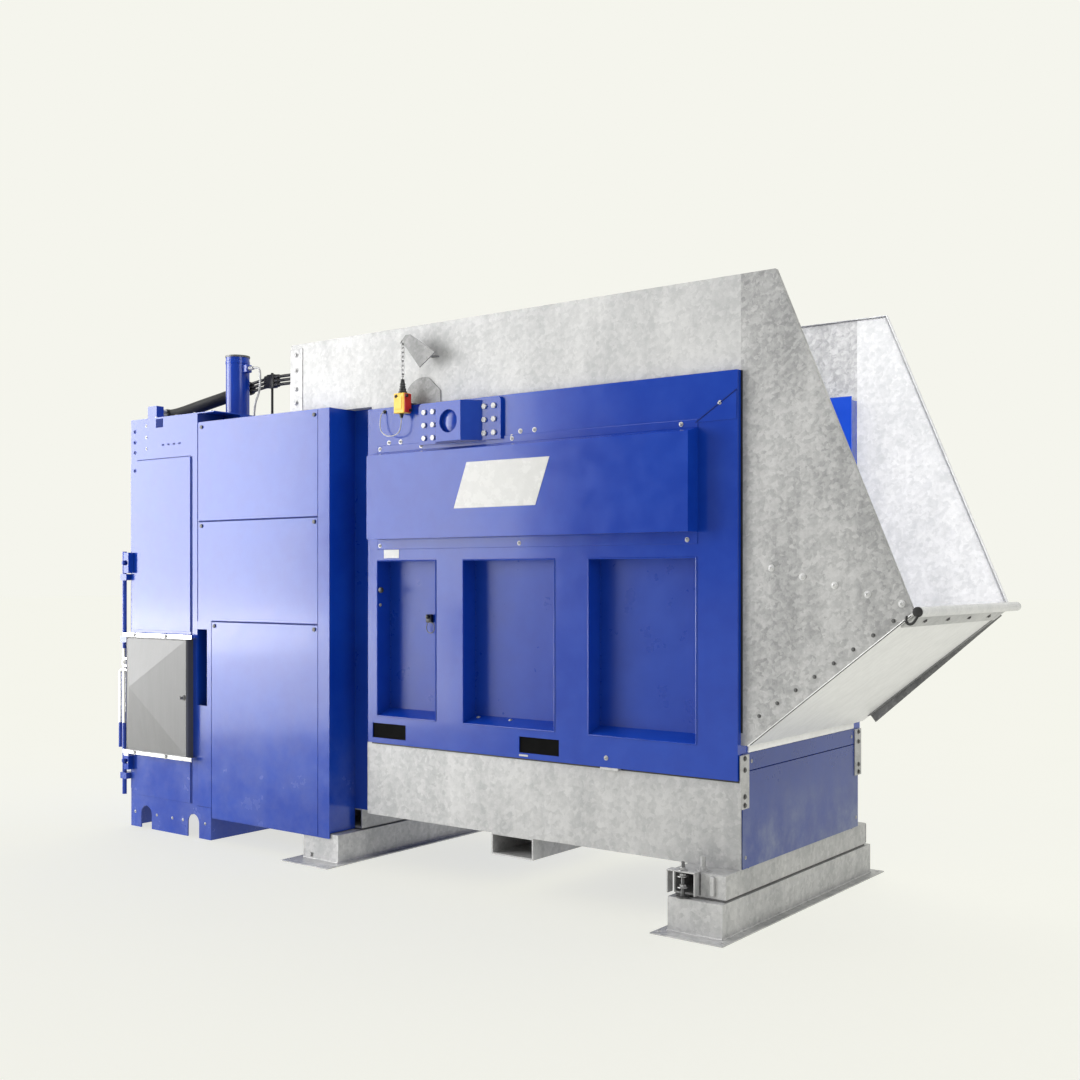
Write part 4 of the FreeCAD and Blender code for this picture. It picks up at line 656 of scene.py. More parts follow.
# %% [markdown]
# Two short zinc tabs lie in the joint under each frame's lower edge, and a thin painted cap
# closes each bearing over the end of the swing shaft. A gusset, a flat three-cornered plate,
# stiffens the upper right corner, welded along its long edge; the weld bead wears the dark blue of
# the shadow gaps, a line of painted shade. They are plain blocks, discs and plates, because
# nothing on them is curved but the weld.

# %% Tabs, caps and gussets


def span(side, inner, outer):
    """The lower and the higher y between two distances from the middle, on one side."""
    return sorted((side * inner, side * outer))


tabs = Work("frame_tabs", zinc_feet, "zinc")
shaft_caps = Work("shaft_caps", blue_paint, "blue_paint")
gusset = Work("corner_gussets", blue_paint, "blue_paint")
shaded_weld = Work("gusset_shaded_welds", shadow_gap, "dark_steel")
for side, facing in SIDES:
    y0, y1 = span(side, 0.6455, 0.6765)
    for x0, x1, z0, z1 in ((1.060, 1.164, 0.6725, 0.6855), (0.564, 0.621, 0.6960, 0.7060)):
        tabs.block((x0, y0, z0), (x1, y1, z1), 0.0015, 1)
    shaft_caps.turned((0.178, side * 0.7563, 2.409), facing, stub(0.004, 0.0590, 0.0575, 0.003),
                      1.0, 40)
    gusset.plate([(x, side * FRAME_Y, z) for x, z in (
        (1.590, 2.306), (1.800, 2.440), (1.800, 2.310))], facing, 0.003, 0.0006)
    shaded_weld.bar([(x, side * (FRAME_Y + 0.002), z) for x, z in (
        (1.590, 2.306), (1.69, 2.3705), (1.800, 2.440))], 0.0035)
tabs.done()
shaft_caps.done(flat=False)
gusset.done(flat=False)
shaded_weld.done(flat=False)

# %% [markdown]
# Thin black strips paint the shadow round each side frame: one lies on the beam along the crack
# under the frame's lower edge, and one on the chute in the corner beside the frame's end, where
# the frame shades the sheet. Plates of a matte black stand behind the fork slots as painted
# shade inside them. All of them lie flat, so thin blocks
# with broken edges do for both.

# %% Painted shadow round the frames
FRAME_END, BEAM_TOP, SHEET_Y, SHADE_STRIP_THICK = 1.805, 0.680, 0.645, 0.0025
SLOT_LOW, SLOT_TOP, SLOT_HALF, FRAME_SKIN = 0.714, 0.795, 0.125, 0.006
shadow_strips = Work("frame_shadow_strips", black_plastic, "lock_black")
slot_shades = Work("slot_shade_plates", slot_shade_black, "hose_rubber")
for side, start in ((-1, -0.499), (1, -0.533)):
    y0, y1 = span(side, SHEET_Y + 0.0001, SHEET_Y + SHADE_STRIP_THICK)
    shadow_strips.block((start, y0, BEAM_TOP - 0.006), (FRAME_END - 0.002, y1, BEAM_TOP + 0.006), 0.0005, 1)
    shadow_strips.block((FRAME_END + 0.0002, y0, 0.900), (FRAME_END + 0.010, y1, 2.529), 0.0005, 1)
    y0, y1 = span(side, FRAME_Y - FRAME_SKIN - 0.0002, FRAME_Y - FRAME_SKIN - 0.0042)
    for x in (-0.342, 0.689):
        slot_shades.block((x - SLOT_HALF - 0.008, y0, SLOT_LOW - 0.006),
                    (x + SLOT_HALF + 0.008, y1, SLOT_TOP + 0.012), 0.0008, 1)
slot_shades.done()
shadow_strips.done()

# %% [markdown]
# Each recess is a folded pan: its rim has a narrow rolled bead where the fold was dressed, and
# its lower edge has a sloping sill, bolted in so that what falls into the recess slides out. Spot
# welds run down the corner between its left wall and the chamber wall. The rim could be bevelled
# in the solid, but a bead laid along it stands out a little, as the real one does.

# %% Recess trim
FRONT_PANS = ((-0.429, 0.002), (0.192, 0.787), (0.992, 1.593))
REAR_PANS = FRONT_PANS + ((-1.600, -0.600),)


def row(first, last, count):
    """Evenly spaced places from first to last."""
    first, last = Vector(first), Vector(last)
    return [first.lerp(last, i / (count - 1)) for i in range(count)]


bead = Work("recess_beads", frame_paint, "blue_paint")
sill = Work("recess_sills", frame_paint, "blue_paint")
spots = Work("pan_spots", frame_paint, "blue_paint")
for (side, facing), pans in zip(SIDES, (FRONT_PANS, REAR_PANS)):
    rim, back, lip = side * (FRAME_Y + 0.0005), side * WALL_Y, side * (WALL_Y + PAN_DEEP)
    for left, right in pans:
        corners = [(left, PAN_LOW), (right, PAN_LOW), (right, PAN_TOP), (left, PAN_TOP)]
        for (x0, z0), (x1, z1) in zip(corners, corners[1:] + corners[:1]):
            middle = ((x0 + x1) / 2, rim, (z0 + z1) / 2)
            bead.bar([(x0, rim, z0), middle, (x1, rim, z1)], 0.0035, sides=2)
        spots.bolts(row((left + 0.004, back, PAN_LOW + 0.06), (left + 0.004, back, PAN_TOP - 0.03), 13),
                    facing, 0.004, washer=False, head=DOME)
        x0, x1, z0, z1 = left + 0.0003, right - 0.0003, PAN_LOW + 0.0002, PAN_LOW + SILL_RISE
        sill.plate([(x0, back, z1), (x1, back, z1), (x1, lip, z0), (x0, lip, z0)], UP, SILL, 0.0004)
bead.done(flat=False)
spots.done(flat=False)
sill.done()

# %% [markdown]
# ## Chute and hopper
#
# The chute's side sheets are screwed to the folded edge of its floor with a row of eight
# screws, and five coach bolts hold the sheet along its upper run. The hopper's sheets end in a
# folded flange with its own bolts. Rows on a slope could be placed one by one, but a row between
# its two ends keeps them even and straight.

# %% Chute and hopper fasteners
chute_screws = Work("chute_screws", dark_steel, "zinc")
sheet_bolts = Work("sheet_bolts", zinc_hopper, "zinc")
coach = Work("coach_bolts", zinc_bright, "zinc")
for side, facing in SIDES:
    y = side * (SHEET_Y + 0.0002)
    chute_screws.bolts(row((1.896, y, 0.982), (2.516, y, 1.418), 8), facing, 0.0060)
    coach.bolts(row((1.956, y, 1.640), (2.551, y, 1.490), 5), facing, 0.0105, head=DOME)
    sheet_bolts.bolts([(-1.115, side * 0.6492, z) for z in (2.62, 2.70, 2.81, 2.90)], facing, 0.010)
chute_screws.done(flat=False)
sheet_bolts.done(flat=False)
coach.done(flat=False)

# %% [markdown]
# ## Splice plates and end screws
#
# Four bolts hold each splice plate between frame and beam, and small zinc plated screws hold the
# end panels. Only their heads show, so they are made in the same way as the bolts before.

# %% Splice plates
SPLICE_FACE, PANEL_FACE = 1.8171, 1.8112
splice = Work("splice_bolts", dark_steel, "zinc")
screws = Work("panel_screws", bolt_zinc, "stainless")
for side in (-1, 1):
    splice.bolts([(SPLICE_FACE, side * 0.630, z) for z in (0.574, 0.613, 0.733, 0.785)], RIGHT, 0.0085)
screws.bolts([(PANEL_FACE, y, z) for y in (-0.612, 0.612) for z in (0.335, 0.690)], RIGHT, 0.006,
             head=DOME)
screws.bolts([(PANEL_FACE, y, 0.765) for y in (-0.555, 0.555)], RIGHT, 0.006, head=DOME)
splice.done(flat=False)
screws.done(flat=False)

# %% [markdown]
# ## Feet
#
# The feet are box sections on flat anchor plates. A run of weld joins tube and plate, and the
# levelling screws each carry a nut and a thick washer. A weld is never quite straight, so its
# bar rises and falls by a millimetre or two over its length.

# %% Feet
WELD = 0.005
weld = Work("foot_welds", zinc_feet, "zinc")
nuts = Work("levelling_nuts", zinc, "zinc")
for left, right, reach in ((-0.925, -0.645, 0.765), (1.525, 1.805, 0.815)):
    for x in (left, right):
        weld.bar([(x, -reach, 0.007), (x, -reach / 3, 0.009), (x, reach / 3, 0.007),
                  (x, reach, 0.008)], WELD)
    for y in (-reach, reach):
        weld.bar([(left, y, 0.008), ((left + right) / 2, y, 0.007), (right, y, 0.008)], WELD)
for x, y in ((1.665, -0.738), (1.665, 0.738), (-0.785, -0.538), (-0.785, 0.538)):
    nuts.turned((x, y, 0.281), UP, WASHER, 0.020, 20)
    nuts.turned((x, y, 0.285), UP, HEX, 0.019, 6)
weld.done(flat=False)
nuts.done()

# %% [markdown]
# Outboard of each channel of the right foot a levelling jack stands in a folded bracket: a
# threaded stud, a nut and washer above and below, and a closing plate over the channel beside
# it. The bracket could be folded from one strip, but its inner bends are hidden, so three
# plates that touch look the same.

# %% Levelling jacks
JACK_Y, STUD_FOOT = 0.7702, 0.1605
BRACKET_PLATES = ((1.520, 1.526, 0.046, 0.176, 0.276), (1.660, 1.666, 0.046, 0.176, 0.276),
                  (1.520, 1.666, 0.048, 0.2765, 0.2825), (1.672, 1.800, 0.004, 0.174, 0.276))
JACK_NUTS = ((0.206, 0.0033, 0.016, 0.0165), (0.255, 0.0033, 0.016, 0.0165),
             (0.2828, 0.0032, 0.015, 0.0155))
bracket = Work("jack_brackets", zinc_feet, "zinc")
stud = Work("jack_studs", dark_steel, "zinc")
jack_nuts = Work("jack_nuts", bolt_zinc, "stainless")
for side, facing in SIDES:
    for x0, x1, out, z0, z1 in BRACKET_PLATES:
        y0, y1 = span(side, JACK_Y, JACK_Y + out)
        bracket.block((x0, y0, z0), (x1, y1, z1), 0.001, 1)
    y0, y1 = span(side, JACK_Y + 0.004, JACK_Y + 0.016)
    bracket.block((1.724, y0, 0.182), (1.746, y1, 0.268), 0.003, 1)
    centre = (1.594, side * (JACK_Y + 0.026))
    stud.turned((*centre, STUD_FOOT), UP, stub(0.162, 0.009, 0.006, 0.158), 1.0, 18)
    stud.turned((*centre, STUD_FOOT), UP, ((0, 0.010), (0, 0.030), (0.006, 0.030), (0.010, 0.014),
                                           (0.016, 0.0095)), 1.0, 24)
    for height, lift, washer, nut in JACK_NUTS:
        jack_nuts.turned((*centre, height), UP, WASHER, washer, 20)
        jack_nuts.turned((*centre, height + lift), UP, HEX, nut, 6)
    jack_nuts.turned((-0.864, side * 0.7652, 0.030), facing, HEX, 0.013, 6)
bracket.done()
stud.done(flat=False)
jack_nuts.done()

# %% [markdown]
# ## Guard over the arm cylinder
#
# The guard is a folded tray with a flange along its upper and lower edge and its left end,
# bolted to the frame. The flanges are thin strips laid against the tray's solid, which keeps
# the tray a plain shape that the sizes can change.

# %% Guard flanges
GUARD_LEFT, GUARD_RIGHT, GUARD_LOW, GUARD_TOP, FLANGE_Y = -0.425, 1.600, 1.752, 2.322, -0.6795
flange = Work("guard_flanges", blue_paint, "blue_paint")
for z0, z1 in ((2.284, GUARD_TOP), (GUARD_LOW, 1.808)):
    flange.block((GUARD_LEFT, FLANGE_Y, z0), (GUARD_RIGHT, -FRAME_Y, z1), 0.0015, 1)
flange.block((GUARD_LEFT - 0.0025, -0.680, GUARD_LOW), (GUARD_LEFT + 0.0015, -FRAME_Y, GUARD_TOP),
             0.001, 1)
flange.done()
guard_bolts = Work("guard_bolts", bolt_zinc, "stainless")
for z, places in ((2.304, (-0.405, -0.10, 0.522, 1.515)), (1.772, (-0.405, 0.568, 1.547))):
    guard_bolts.bolts([(x, FLANGE_Y, z) for x in places], FRONT, 0.0075, head=DOME)
guard_bolts.done(flat=False)

# %% [markdown]
# A plain white enamelled plate, cut as a leaning panel, sits in the middle of the guard's face,
# and a small one below its left end. They could be painted on in the finish, but a real plate
# has an edge that catches the light, so both are thin plates with broken edges.

# %% Enamel plates
enamel = moulded("white_enamel", (0.56, 0.56, 0.55, 1), (0.62, 0.62, 0.61, 1), 0.22, 0.00002)
plain = Work("plain_plate", enamel, "zinc")
plain.plate([(x, -0.7642, z) for x, z in (
    (0.205, 1.955), (0.735, 1.955), (0.822, 2.190), (0.292, 2.190))], FRONT, 0.0015, 0.0005)
plain.plate([(x, FRAME_FACE, z) for x, z in (
    (-0.379, 1.704), (-0.266, 1.704), (-0.266, 1.750), (-0.379, 1.750))], FRONT, 0.0012, 0.0004)
plain.done()

# %% [markdown]
# ## Tower face
#
# A lift-off panel covers the tower's long sides, above and below the height of the wire hood,
# with a shadow gap along its free edge. Round drain holes, a vent of four slots and a lifting
# notch are pressed into the top of the casing. Cutting them would need a boolean per hole. A
# dark disc or strip in a raised rim, painted shade where the opening is, looks the same and keeps
# the casing's solid clean.

# %% Tower face
TOWER_Y = 0.775
PANEL_LEFT, PANEL_RIGHT, PANEL_FOOT, PANEL_HEAD = -2.470, -1.930, 0.205, 2.345
HOLE_X, HOLE = -2.496, 0.0105
panel = Work("tower_panels", blue_paint, "blue_paint")
gaps = Work("tower_gaps", shadow_gap, "dark_steel")
for side, facing in SIDES:
    y0, y1 = span(side, TOWER_Y, TOWER_Y + 0.0035)
    panel.block((PANEL_LEFT, y0, 1.262), (PANEL_RIGHT, y1, PANEL_HEAD), 0.0012, 1)
    panel.block((PANEL_LEFT, y0, PANEL_FOOT), (PANEL_RIGHT, y1, 0.462), 0.0012, 1)
    y0, y1 = span(side, TOWER_Y, TOWER_Y + 0.0008)
    gaps.block((-1.926, y0, PANEL_FOOT), (-1.912, y1, PANEL_HEAD))
    gaps.block((PANEL_LEFT, y0, 2.3465), (PANEL_RIGHT, y1, 2.3505))
    for z in (2.534, 2.465, 2.40, 2.283):
        panel.turned((HOLE_X, side * TOWER_Y, z), facing,
                     ((0, 0.013), (0.0022, 0.0125), (0.0022, HOLE), (0, HOLE)), 1.0, 18)
        gaps.turned((HOLE_X, side * TOWER_Y, z), facing,
                    ((0, 0), (0, HOLE), (0.001, HOLE), (0.001, 0)), 1.0, 18)
    for x in (-2.205, -2.150, -2.095, -2.040):
        gaps.block((x - 0.011, y0, 2.428), (x + 0.011, y1, 2.438))
    gaps.block((-2.276, y0, 2.545), (-2.205, y1, 2.600))
# Painted shade: a dark strip over each joint between the cabinet's front panels.
for x, z in ((-1.728, 1.3325), (-1.850, 1.9415)):
    gaps.block((x, -0.7758, z - 0.0060), (-0.800, -0.7752, z + 0.0040))
panel.done()
gaps.done()

# %% [markdown]
# Small domed screws hold the casing's corner strip and its lower edge. Pan heads would do as
# well, but the domes of the frame's bolts, only smaller, catch the light in the same way.

# %% Tower screws
TOWER_SCREWS = ((-2.375, 2.564), (-2.375, 2.490), (-2.375, 2.418), (-2.266, 0.095), (-2.110, 0.095),
                (-2.005, 0.095), (-1.790, 0.095), (-2.490, 0.095))
tower_screws = Work("tower_screws", bolt_zinc, "stainless")
for side, facing in SIDES:
    tower_screws.bolts([(x, side * TOWER_Y, z) for x, z in TOWER_SCREWS], facing, 0.006, head=DOME)
tower_screws.done(flat=False)

# %% [markdown]
# ## Hood and rails
#
# Two bright rails carry the wire hood, each held by two bolts. The hood's lid is brushed
# stainless sheet with an edge rolled round a wire, and a small knob to pull it by. A folded hem
# on the sheet itself would need many thin faces, so the rolled edge is a bar along each side.
# It rides on the hood, so it opens with the lid.

# %% Hood hardware
LID_LEFT, LID_RIGHT, LID_LOW, LID_TOP, LID_Y = -2.509, -1.908, 0.500, 1.214, -0.826
LID_EDGE = 0.0035
rail_bolts = Work("rail_bolts", zinc_feet, "zinc")
for z in (1.232, 0.482):
    rail_bolts.bolts([(x, -0.818, z) for x in (-2.44, -2.12)], FRONT, 0.010)
rail_bolts.done(flat=False)
edge = Work("hood_edges", stainless, "stainless", "hood")
for x in (LID_LEFT, LID_RIGHT):
    edge.bar([(x, LID_Y, z) for z in (LID_LOW, 0.855, LID_TOP)], LID_EDGE)
for z, crown in ((LID_TOP, 0.0005), (LID_LOW, -0.0005)):
    edge.bar([(LID_LEFT, LID_Y, z), (-2.2, LID_Y, z + crown), (LID_RIGHT, LID_Y, z)], LID_EDGE)
edge.turned((-1.930, -0.8245, 0.86), FRONT,
            ((0, 0), (0, 0.016), (0.006, 0.016), (0.012, 0.009), (0.024, 0.008), (0.030, 0.0105),
             (0.036, 0.009), (0.036, 0)), 1.0, 24)
edge.done(flat=False)

# %% [markdown]
# ## Door welds and hinge screws
#
# The five ribs of the bale door are folded channels, welded to its skin along both edges, and
# the hinge leaves are screwed to the tower's edge. The weld is a bar whose points step up and
# down by a millimetre, so that it doesn't look ruled.

# %% Door
RIB_FOOT, RIB_PITCH, RIB_HIGH = 0.330, 0.430, 0.090
WELD_LEFT, WELD_STEP, WELD_WAVE = -0.70, 0.134, 0.0012
beads = Work("door_welds", door_paint, "blue_paint", "door")
for z in (RIB_FOOT + RIB_PITCH * k for k in range(5)):
    for edge_z in (z, z + RIB_HIGH):
        beads.bar([(-2.5455, WELD_LEFT + WELD_STEP * k, edge_z + WELD_WAVE * (k % 2))
                   for k in range(11)], 0.0045, sides=2)
beads.done(flat=False)
hinge_screws = Work("hinge_screws", bolt_zinc, "stainless")
hinge_screws.bolts([(-2.5462, 0.7625, z + dz) for z in (0.50, 1.25, 2.00)
                    for dz in (-0.062, -0.042, 0.042, 0.062)], LEFT, 0.0045, head=DOME)
hinge_screws.done(flat=False)

# %% [markdown]
# ## Press cylinders
#
# The press barrels are painted tube. Each has a turned cap, a collar where it stands on the
# roof, and a ring under the cap. They are round, so each is a profile spun about the barrel's
# axis. The cap's profile runs back to its start, which closes it.

# %% Cylinder caps and rings
BARREL_X, BARRELS, BARREL = -2.060, (-0.3, 0.3), 0.0765
caps = Work("cylinder_caps", dark_steel, "dark_steel")
rings = Work("cylinder_rings", blue_paint, "blue_paint")
for y in BARRELS:
    caps.turned((BARREL_X, y, 3.0276), UP, ((0, 0.079), (0.012, 0.079), (0.012, 0.072), (0.003, 0.070),
                                            (0.003, 0), (0, 0), (0, 0.079)), 1.0, 48)
    rings.turned((BARREL_X, y, 2.632), UP, ((0, BARREL), (0, 0.090), (0.014, 0.088), (0.020, BARREL)),
                 1.0, 48)
    rings.turned((BARREL_X, y, 2.985), UP, ((0, BARREL), (0.002, 0.0785), (0.020, 0.0785),
                                            (0.022, BARREL)), 1.0, 48)
caps.done(flat=False)
rings.done(flat=False)

# %% [markdown]
# A port block sits high on each barrel, with a union for its pipe, and eight cap screws ring the
# barrel's foot. One screw could be made and then turned round the barrel seven times, but eight
# places on a circle, given to `bolts`, are shorter.

# %% Port blocks and unions
CAP = ((0, 0), (0, 1.0), (1.1, 1.0), (1.2, 0.9), (1.2, 0.55), (0.5, 0.5), (0.5, 0))
ports = Work("port_blocks", blue_paint, "blue_paint")
unions = Work("port_unions", zinc, "zinc")
for y in BARRELS:
    ports.block((-1.985, y - 0.022, 2.925), (-1.945, y + 0.022, 2.975), 0.004)
    unions.turned((-1.945, y, 2.950), RIGHT, HEX, 0.016, 6)
    unions.turned((-1.934, y, 2.950), RIGHT, ((0, 0), (0, 0.012), (0.03, 0.011), (0.03, 0)), 1.0, 16)
    unions.bolts([(BARREL_X + 0.097 * math.cos(a), y + 0.097 * math.sin(a), 2.630)
                  for a in (0.4 + k * math.tau / 8 for k in range(8))], UP, 0.008, head=CAP)
ports.done()
unions.done(flat=False)

# %% [markdown]
# A thin steel pipe runs from each union down to the roof, and four bolts each side hold the roof
# sheet. Such a pipe is bent by hand on the real machine, so it is a bar with soft corners and
# not a chain of straight tubes with elbows.

# %% Roof bolts and pipes
ROOF_TOP, PIPE_X = 2.6105, -1.84
roof_bolts = Work("roof_bolts", bolt_zinc, "stainless")
roof_bolts.bolts([(x, side * 0.752, ROOF_TOP) for side in (-1, 1)
                  for x in (-2.30, -2.10, -1.92, -1.76)], UP, 0.009)
roof_bolts.done(flat=False)
pipes = Work("steel_pipes", zinc, "zinc")
for y, bend in zip(BARRELS, (-0.05, 0.05)):
    pipes.bar([(-1.905, y, 2.950), (-1.86, y, 2.950), (PIPE_X, y, 2.93), (PIPE_X, y, 2.80),
               (PIPE_X, y + bend, 2.70), (PIPE_X, y + bend, 2.612)], 0.007)
    pipes.turned((PIPE_X, y + bend, ROOF_TOP), UP, HEX, 0.014, 6)
pipes.done(flat=False)

# %% [markdown]
# ## Hose ends, clips and sleeve
#
# Three hoses leave a valve block on the tower's roof and end at the hopper. Each end is crimped
# into a grooved ferrule with a hexagon behind it. The grooves could be cut afterwards, but as
# part of the profile that is spun they cost nothing and stay clean.

# %% Hose ferrules
HOSE_BASE, HOSE_PITCH = (-2.470, -0.640, 2.610), 0.026
CRIMP = ((0, 0.0105), (0, 0.0135), (0.006, 0.0145), (0.010, 0.0135), (0.016, 0.0145),
         (0.020, 0.0135), (0.026, 0.0145), (0.030, 0.0135), (0.036, 0.0140), (0.040, 0.0105))
base_x, base_y, base_z = HOSE_BASE
ferrule = Work("hose_ferrules", zinc_feet, "zinc")
for index in range(3):
    lift = index * HOSE_PITCH
    x, y, z = base_x + 0.045, base_y + 0.002, base_z + 0.016 + lift
    ferrule.turned((x, y + 0.012, z), REAR, CRIMP, 1.0, 18)
    ferrule.turned((x, y - 0.002, z), REAR, HEX, 0.0155, 6)
    x, y, z = base_x + 1.305, base_y + 0.458, base_z + 0.224 + lift
    ferrule.turned((x - 0.050, y, z), LEFT, CRIMP, 1.0, 18)
    ferrule.turned((x - 0.046, y, z), RIGHT, HEX, 0.0155, 6)
    ferrule.turned((x - 0.030, y, z), RIGHT, ((0, 0.0102), (0, 0.013), (0.026, 0.013),
                                              (0.026, 0.0102)), 1.0, 16)
ferrule.done(flat=False)

# %% [markdown]
# Two moulded clips hold the three hoses one above the other, with a short collar where a hose
# leaves the clip, and a rubber sleeve covers the bundle's first bend. The sleeve is one thick
# bar on the hoses' own line: it only has to hide them, as the real one does.

# %% Hose clips and sleeve
CLIP_WALL = 0.020
clips = Work("hose_clips", black_plastic, "lock_black")
for dx, dy, dz, half in ((0.585, 0.480, 0.242, 0.034), (1.005, 0.462, 0.232, 0.016)):
    x, y, z = base_x + dx, base_y + dy, base_z + dz
    clips.block((x - half, y - CLIP_WALL, z - 0.018), (x + half, y + CLIP_WALL, z + 0.070), 0.004)
    for index in range(3):
        for way in (-1, 1):
            clips.turned((x + way * half, y, z + index * HOSE_PITCH), (way, 0, 0),
                         ((0, 0.0105), (0, 0.0165), (0.030, 0.0155), (0.034, 0.0105)), 1.0, 18)
    clips.turned((x, y, z + 0.070), UP, CAP, 0.009, 16)
clips.done(flat=False)
sleeve = Work("hose_sleeve", hose_rubber, "hose_rubber")
knots = [Vector(HOSE_BASE) + Vector(step) + Vector((0, 0, HOSE_PITCH)) for step in (
    (0.045, 0.060, 0.016), (0.045, 0.110, 0.016), (0.085, 0.310, 0.105), (0.155, 0.440, 0.165),
    (0.285, 0.485, 0.205), (0.360, 0.4875, 0.2175))]
sleeve.bar(knots, 0.041)
for first, last in ((knots[0], knots[1]), (knots[5], knots[4])):
    sleeve.turned(first, last - first, ((-0.004, 0.030), (-0.004, 0.044), (0.016, 0.044),
                                        (0.016, 0.030)), 1.0, 24)
sleeve.done(flat=False)

# %% [markdown]
# ## Pull switch
#
# The emergency switch has a yellow front, a red side cover with black corner caps, and a black
# rubber boot where the chain's stem comes out. The plain switch of the solids could be painted
# in three colours, but the case has steps and a boot that the solid lacks, so the dressed case
# stands for it.

# %% Switch case
CASE_X, CASE_Y, CASE_Z = (-0.241, -0.159), (-0.7445, -0.6895), (2.482, 2.590)
(x0, x1), (y0, y1), (z0, z1) = CASE_X, CASE_Y, CASE_Z
case = Work("switch_case", yellow_plastic, "switch_yellow")
case.block((x0, y0, z0), (x1 - 0.006, y1, z1), 0.004, 3)
case.block((x0 + 0.012, y0 - 0.003, z0 + 0.020), (x1 - 0.020, y0 + 0.002, z1 - 0.020), 0.0018)
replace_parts(case.done(), "pull_switch")
side_cover = Work("switch_side", red_plastic, "switch_yellow")
side_cover.block((x1 - 0.0062, y0 + 0.003, z0 + 0.003), (x1, y1 - 0.003, z1 - 0.003), 0.0015)
side_cover.done()

# %% [markdown]
# The boot is a small bellows. Its folds could be separate rings, but one profile that goes out
# and in and is spun once has no seams. The same black finish dresses the knob on the front, the
# two corner caps and the gland below.

# %% Switch boot, caps and gland
STEM_Y = -0.717
boots = Work("switch_boot", black_plastic, "lock_black")
boots.turned((-0.200, STEM_Y, z1 - 0.001), UP, (
    (0, 0), (0, 0.024), (0.010, 0.024), (0.014, 0.019), (0.026, 0.019), (0.030, 0.0145),
    (0.038, 0.017), (0.044, 0.013), (0.052, 0.0155), (0.058, 0.011), (0.077, 0.010),
    (0.077, 0.0072), (0.050, 0.0072)), 1.0, 24)
boots.turned((-0.222, y0 + 0.001, z1 - 0.018), FRONT, DOME, 0.011, 18)
for z, shift in ((z0 + 0.016, 0.014), (z1 - 0.016, -0.014)):
    boots.turned((x1 - 0.0005, (y0 + y1) / 2 + shift, z), RIGHT,
                 stub(0.009, 0.009, 0.006, 0.008, 0.0085), 1.0, 18)
boots.turned((-0.208, STEM_Y, z0 + 0.001), DOWN, (
    (0, 0), (0, 0.013), (0.012, 0.013), (0.013, 0.009), (0.024, 0.008), (0.024, 0)), 1.0, 12)
boots.done(flat=False)

# %% [markdown]
# The switch's lead leaves its lower gland, hangs in one loop and goes into the frame through a
# grommet. It is a thin screened lead, medium stiff, so it keeps an open curve. A cord could be
# simulated, but this one is held at both ends and its whole loop can be read off the photograph,
# so it is drawn through the same points that the solid lead follows.

# %% Switch lead
lead_sheath = moulded("lead_sheath", grey(0.42), grey(0.52), 0.36, 0.00004, 500.0)
route = [(-0.200 + u, STEM_Y + v, 2.482 + w) for u, v, w in (
    (-0.008, 0, 0), (-0.008, 0, -0.084), (-0.052, 0, -0.116), (-0.126, 0.002, -0.116),
    (-0.176, 0.008, -0.078), (-0.182, 0.014, -0.024), (-0.176, 0.020, 0.022),
    (-0.172, 0.042, 0.026))]
lead = round_line("switch_lead", route, 0.003)
lead.data.splines[0].resolution_u = 10
lead.data.materials.append(lead_sheath.material)
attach(lead, "frame")
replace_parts(lead, "pull_switch")
grommet = Work("lead_grommet", black_plastic, "lock_black")
grommet.turned((route[-1][0], -FRAME_Y, route[-1][2]), FRONT,
               ((0, 0.0032), (0, 0.011), (0.004, 0.011), (0.008, 0.007), (0.012, 0.006),
                (0.012, 0.0032)), 1.0, 20)
grommet.done(flat=False)
print("lead", len(route), "points")

# %% [markdown]
# ## Chute edge
#
# A hem strip is screwed under the lip, and a stiffening angle, in the darkest zinc as painted
# shade, runs down the far side of the chute's underside. Thin black strips paint the shade in the
# fold on the near side and in the corner behind the lip. All of them follow the slope of the
# chute's floor. They could be built level and turned, but each corner is simpler to state as a
# distance up the slope and a drop below it.

# %% Strips under the chute
FOLD_FOOT, FOLD_TIP, SHEET = Vector((1.835, 0, 0.845)), Vector((2.600, 0, 1.457)), 0.004
SLOPE = (FOLD_TIP - FOLD_FOOT).normalized()
UNDER = Vector((SLOPE.z, 0, -SLOPE.x))
LONG = (FOLD_TIP - FOLD_FOOT).length
ANGLE_FOOT, ANGLE_TIP, HEM_HALF = 0.055, LONG - 0.060, 0.60


def under_strip(work, start, end, y0, y1, thick):
    """A flat strip against the underside, between two distances up the slope from its foot."""
    first, last = (FOLD_FOOT + SLOPE * s + UNDER * (SHEET + 0.0002) for s in (start, end))
    work.plate([(first.x, y0, first.z), (last.x, y0, last.z), (last.x, y1, last.z),
                (first.x, y1, first.z)], UNDER, thick, min(0.001, thick * 0.2))


hem = Work("chute_hem", zinc_hopper, "zinc")
angle = Work("chute_angles", zinc_dark, "zinc")
fold_shade = Work("chute_shade_strips", black_plastic, "lock_black")
under_strip(hem, LONG - 0.095, LONG - 0.012, -HEM_HALF, HEM_HALF, 0.008)
under_strip(angle, ANGLE_FOOT, ANGLE_TIP, 0.600, 0.6405, 0.004)
web = [FOLD_FOOT + SLOPE * along + UNDER * drop for along, drop in (
    (ANGLE_FOOT, SHEET), (ANGLE_TIP, SHEET), (ANGLE_TIP, 0.012), (ANGLE_FOOT, 0.050))]
angle.plate([(corner.x, 0.6365, corner.z) for corner in web], REAR, 0.004, 0.001)
under_strip(fold_shade, 0.012, LONG - 0.020, -0.6405, -0.6345, 0.003)
under_strip(fold_shade, LONG - 0.012, LONG - 0.002, -HEM_HALF, HEM_HALF, 0.006)
for work in (hem, angle, fold_shade):
    work.done()
print("slope", round(math.degrees(math.asin(SLOPE.z)), 1), "degrees,", round(LONG, 3), "m long")

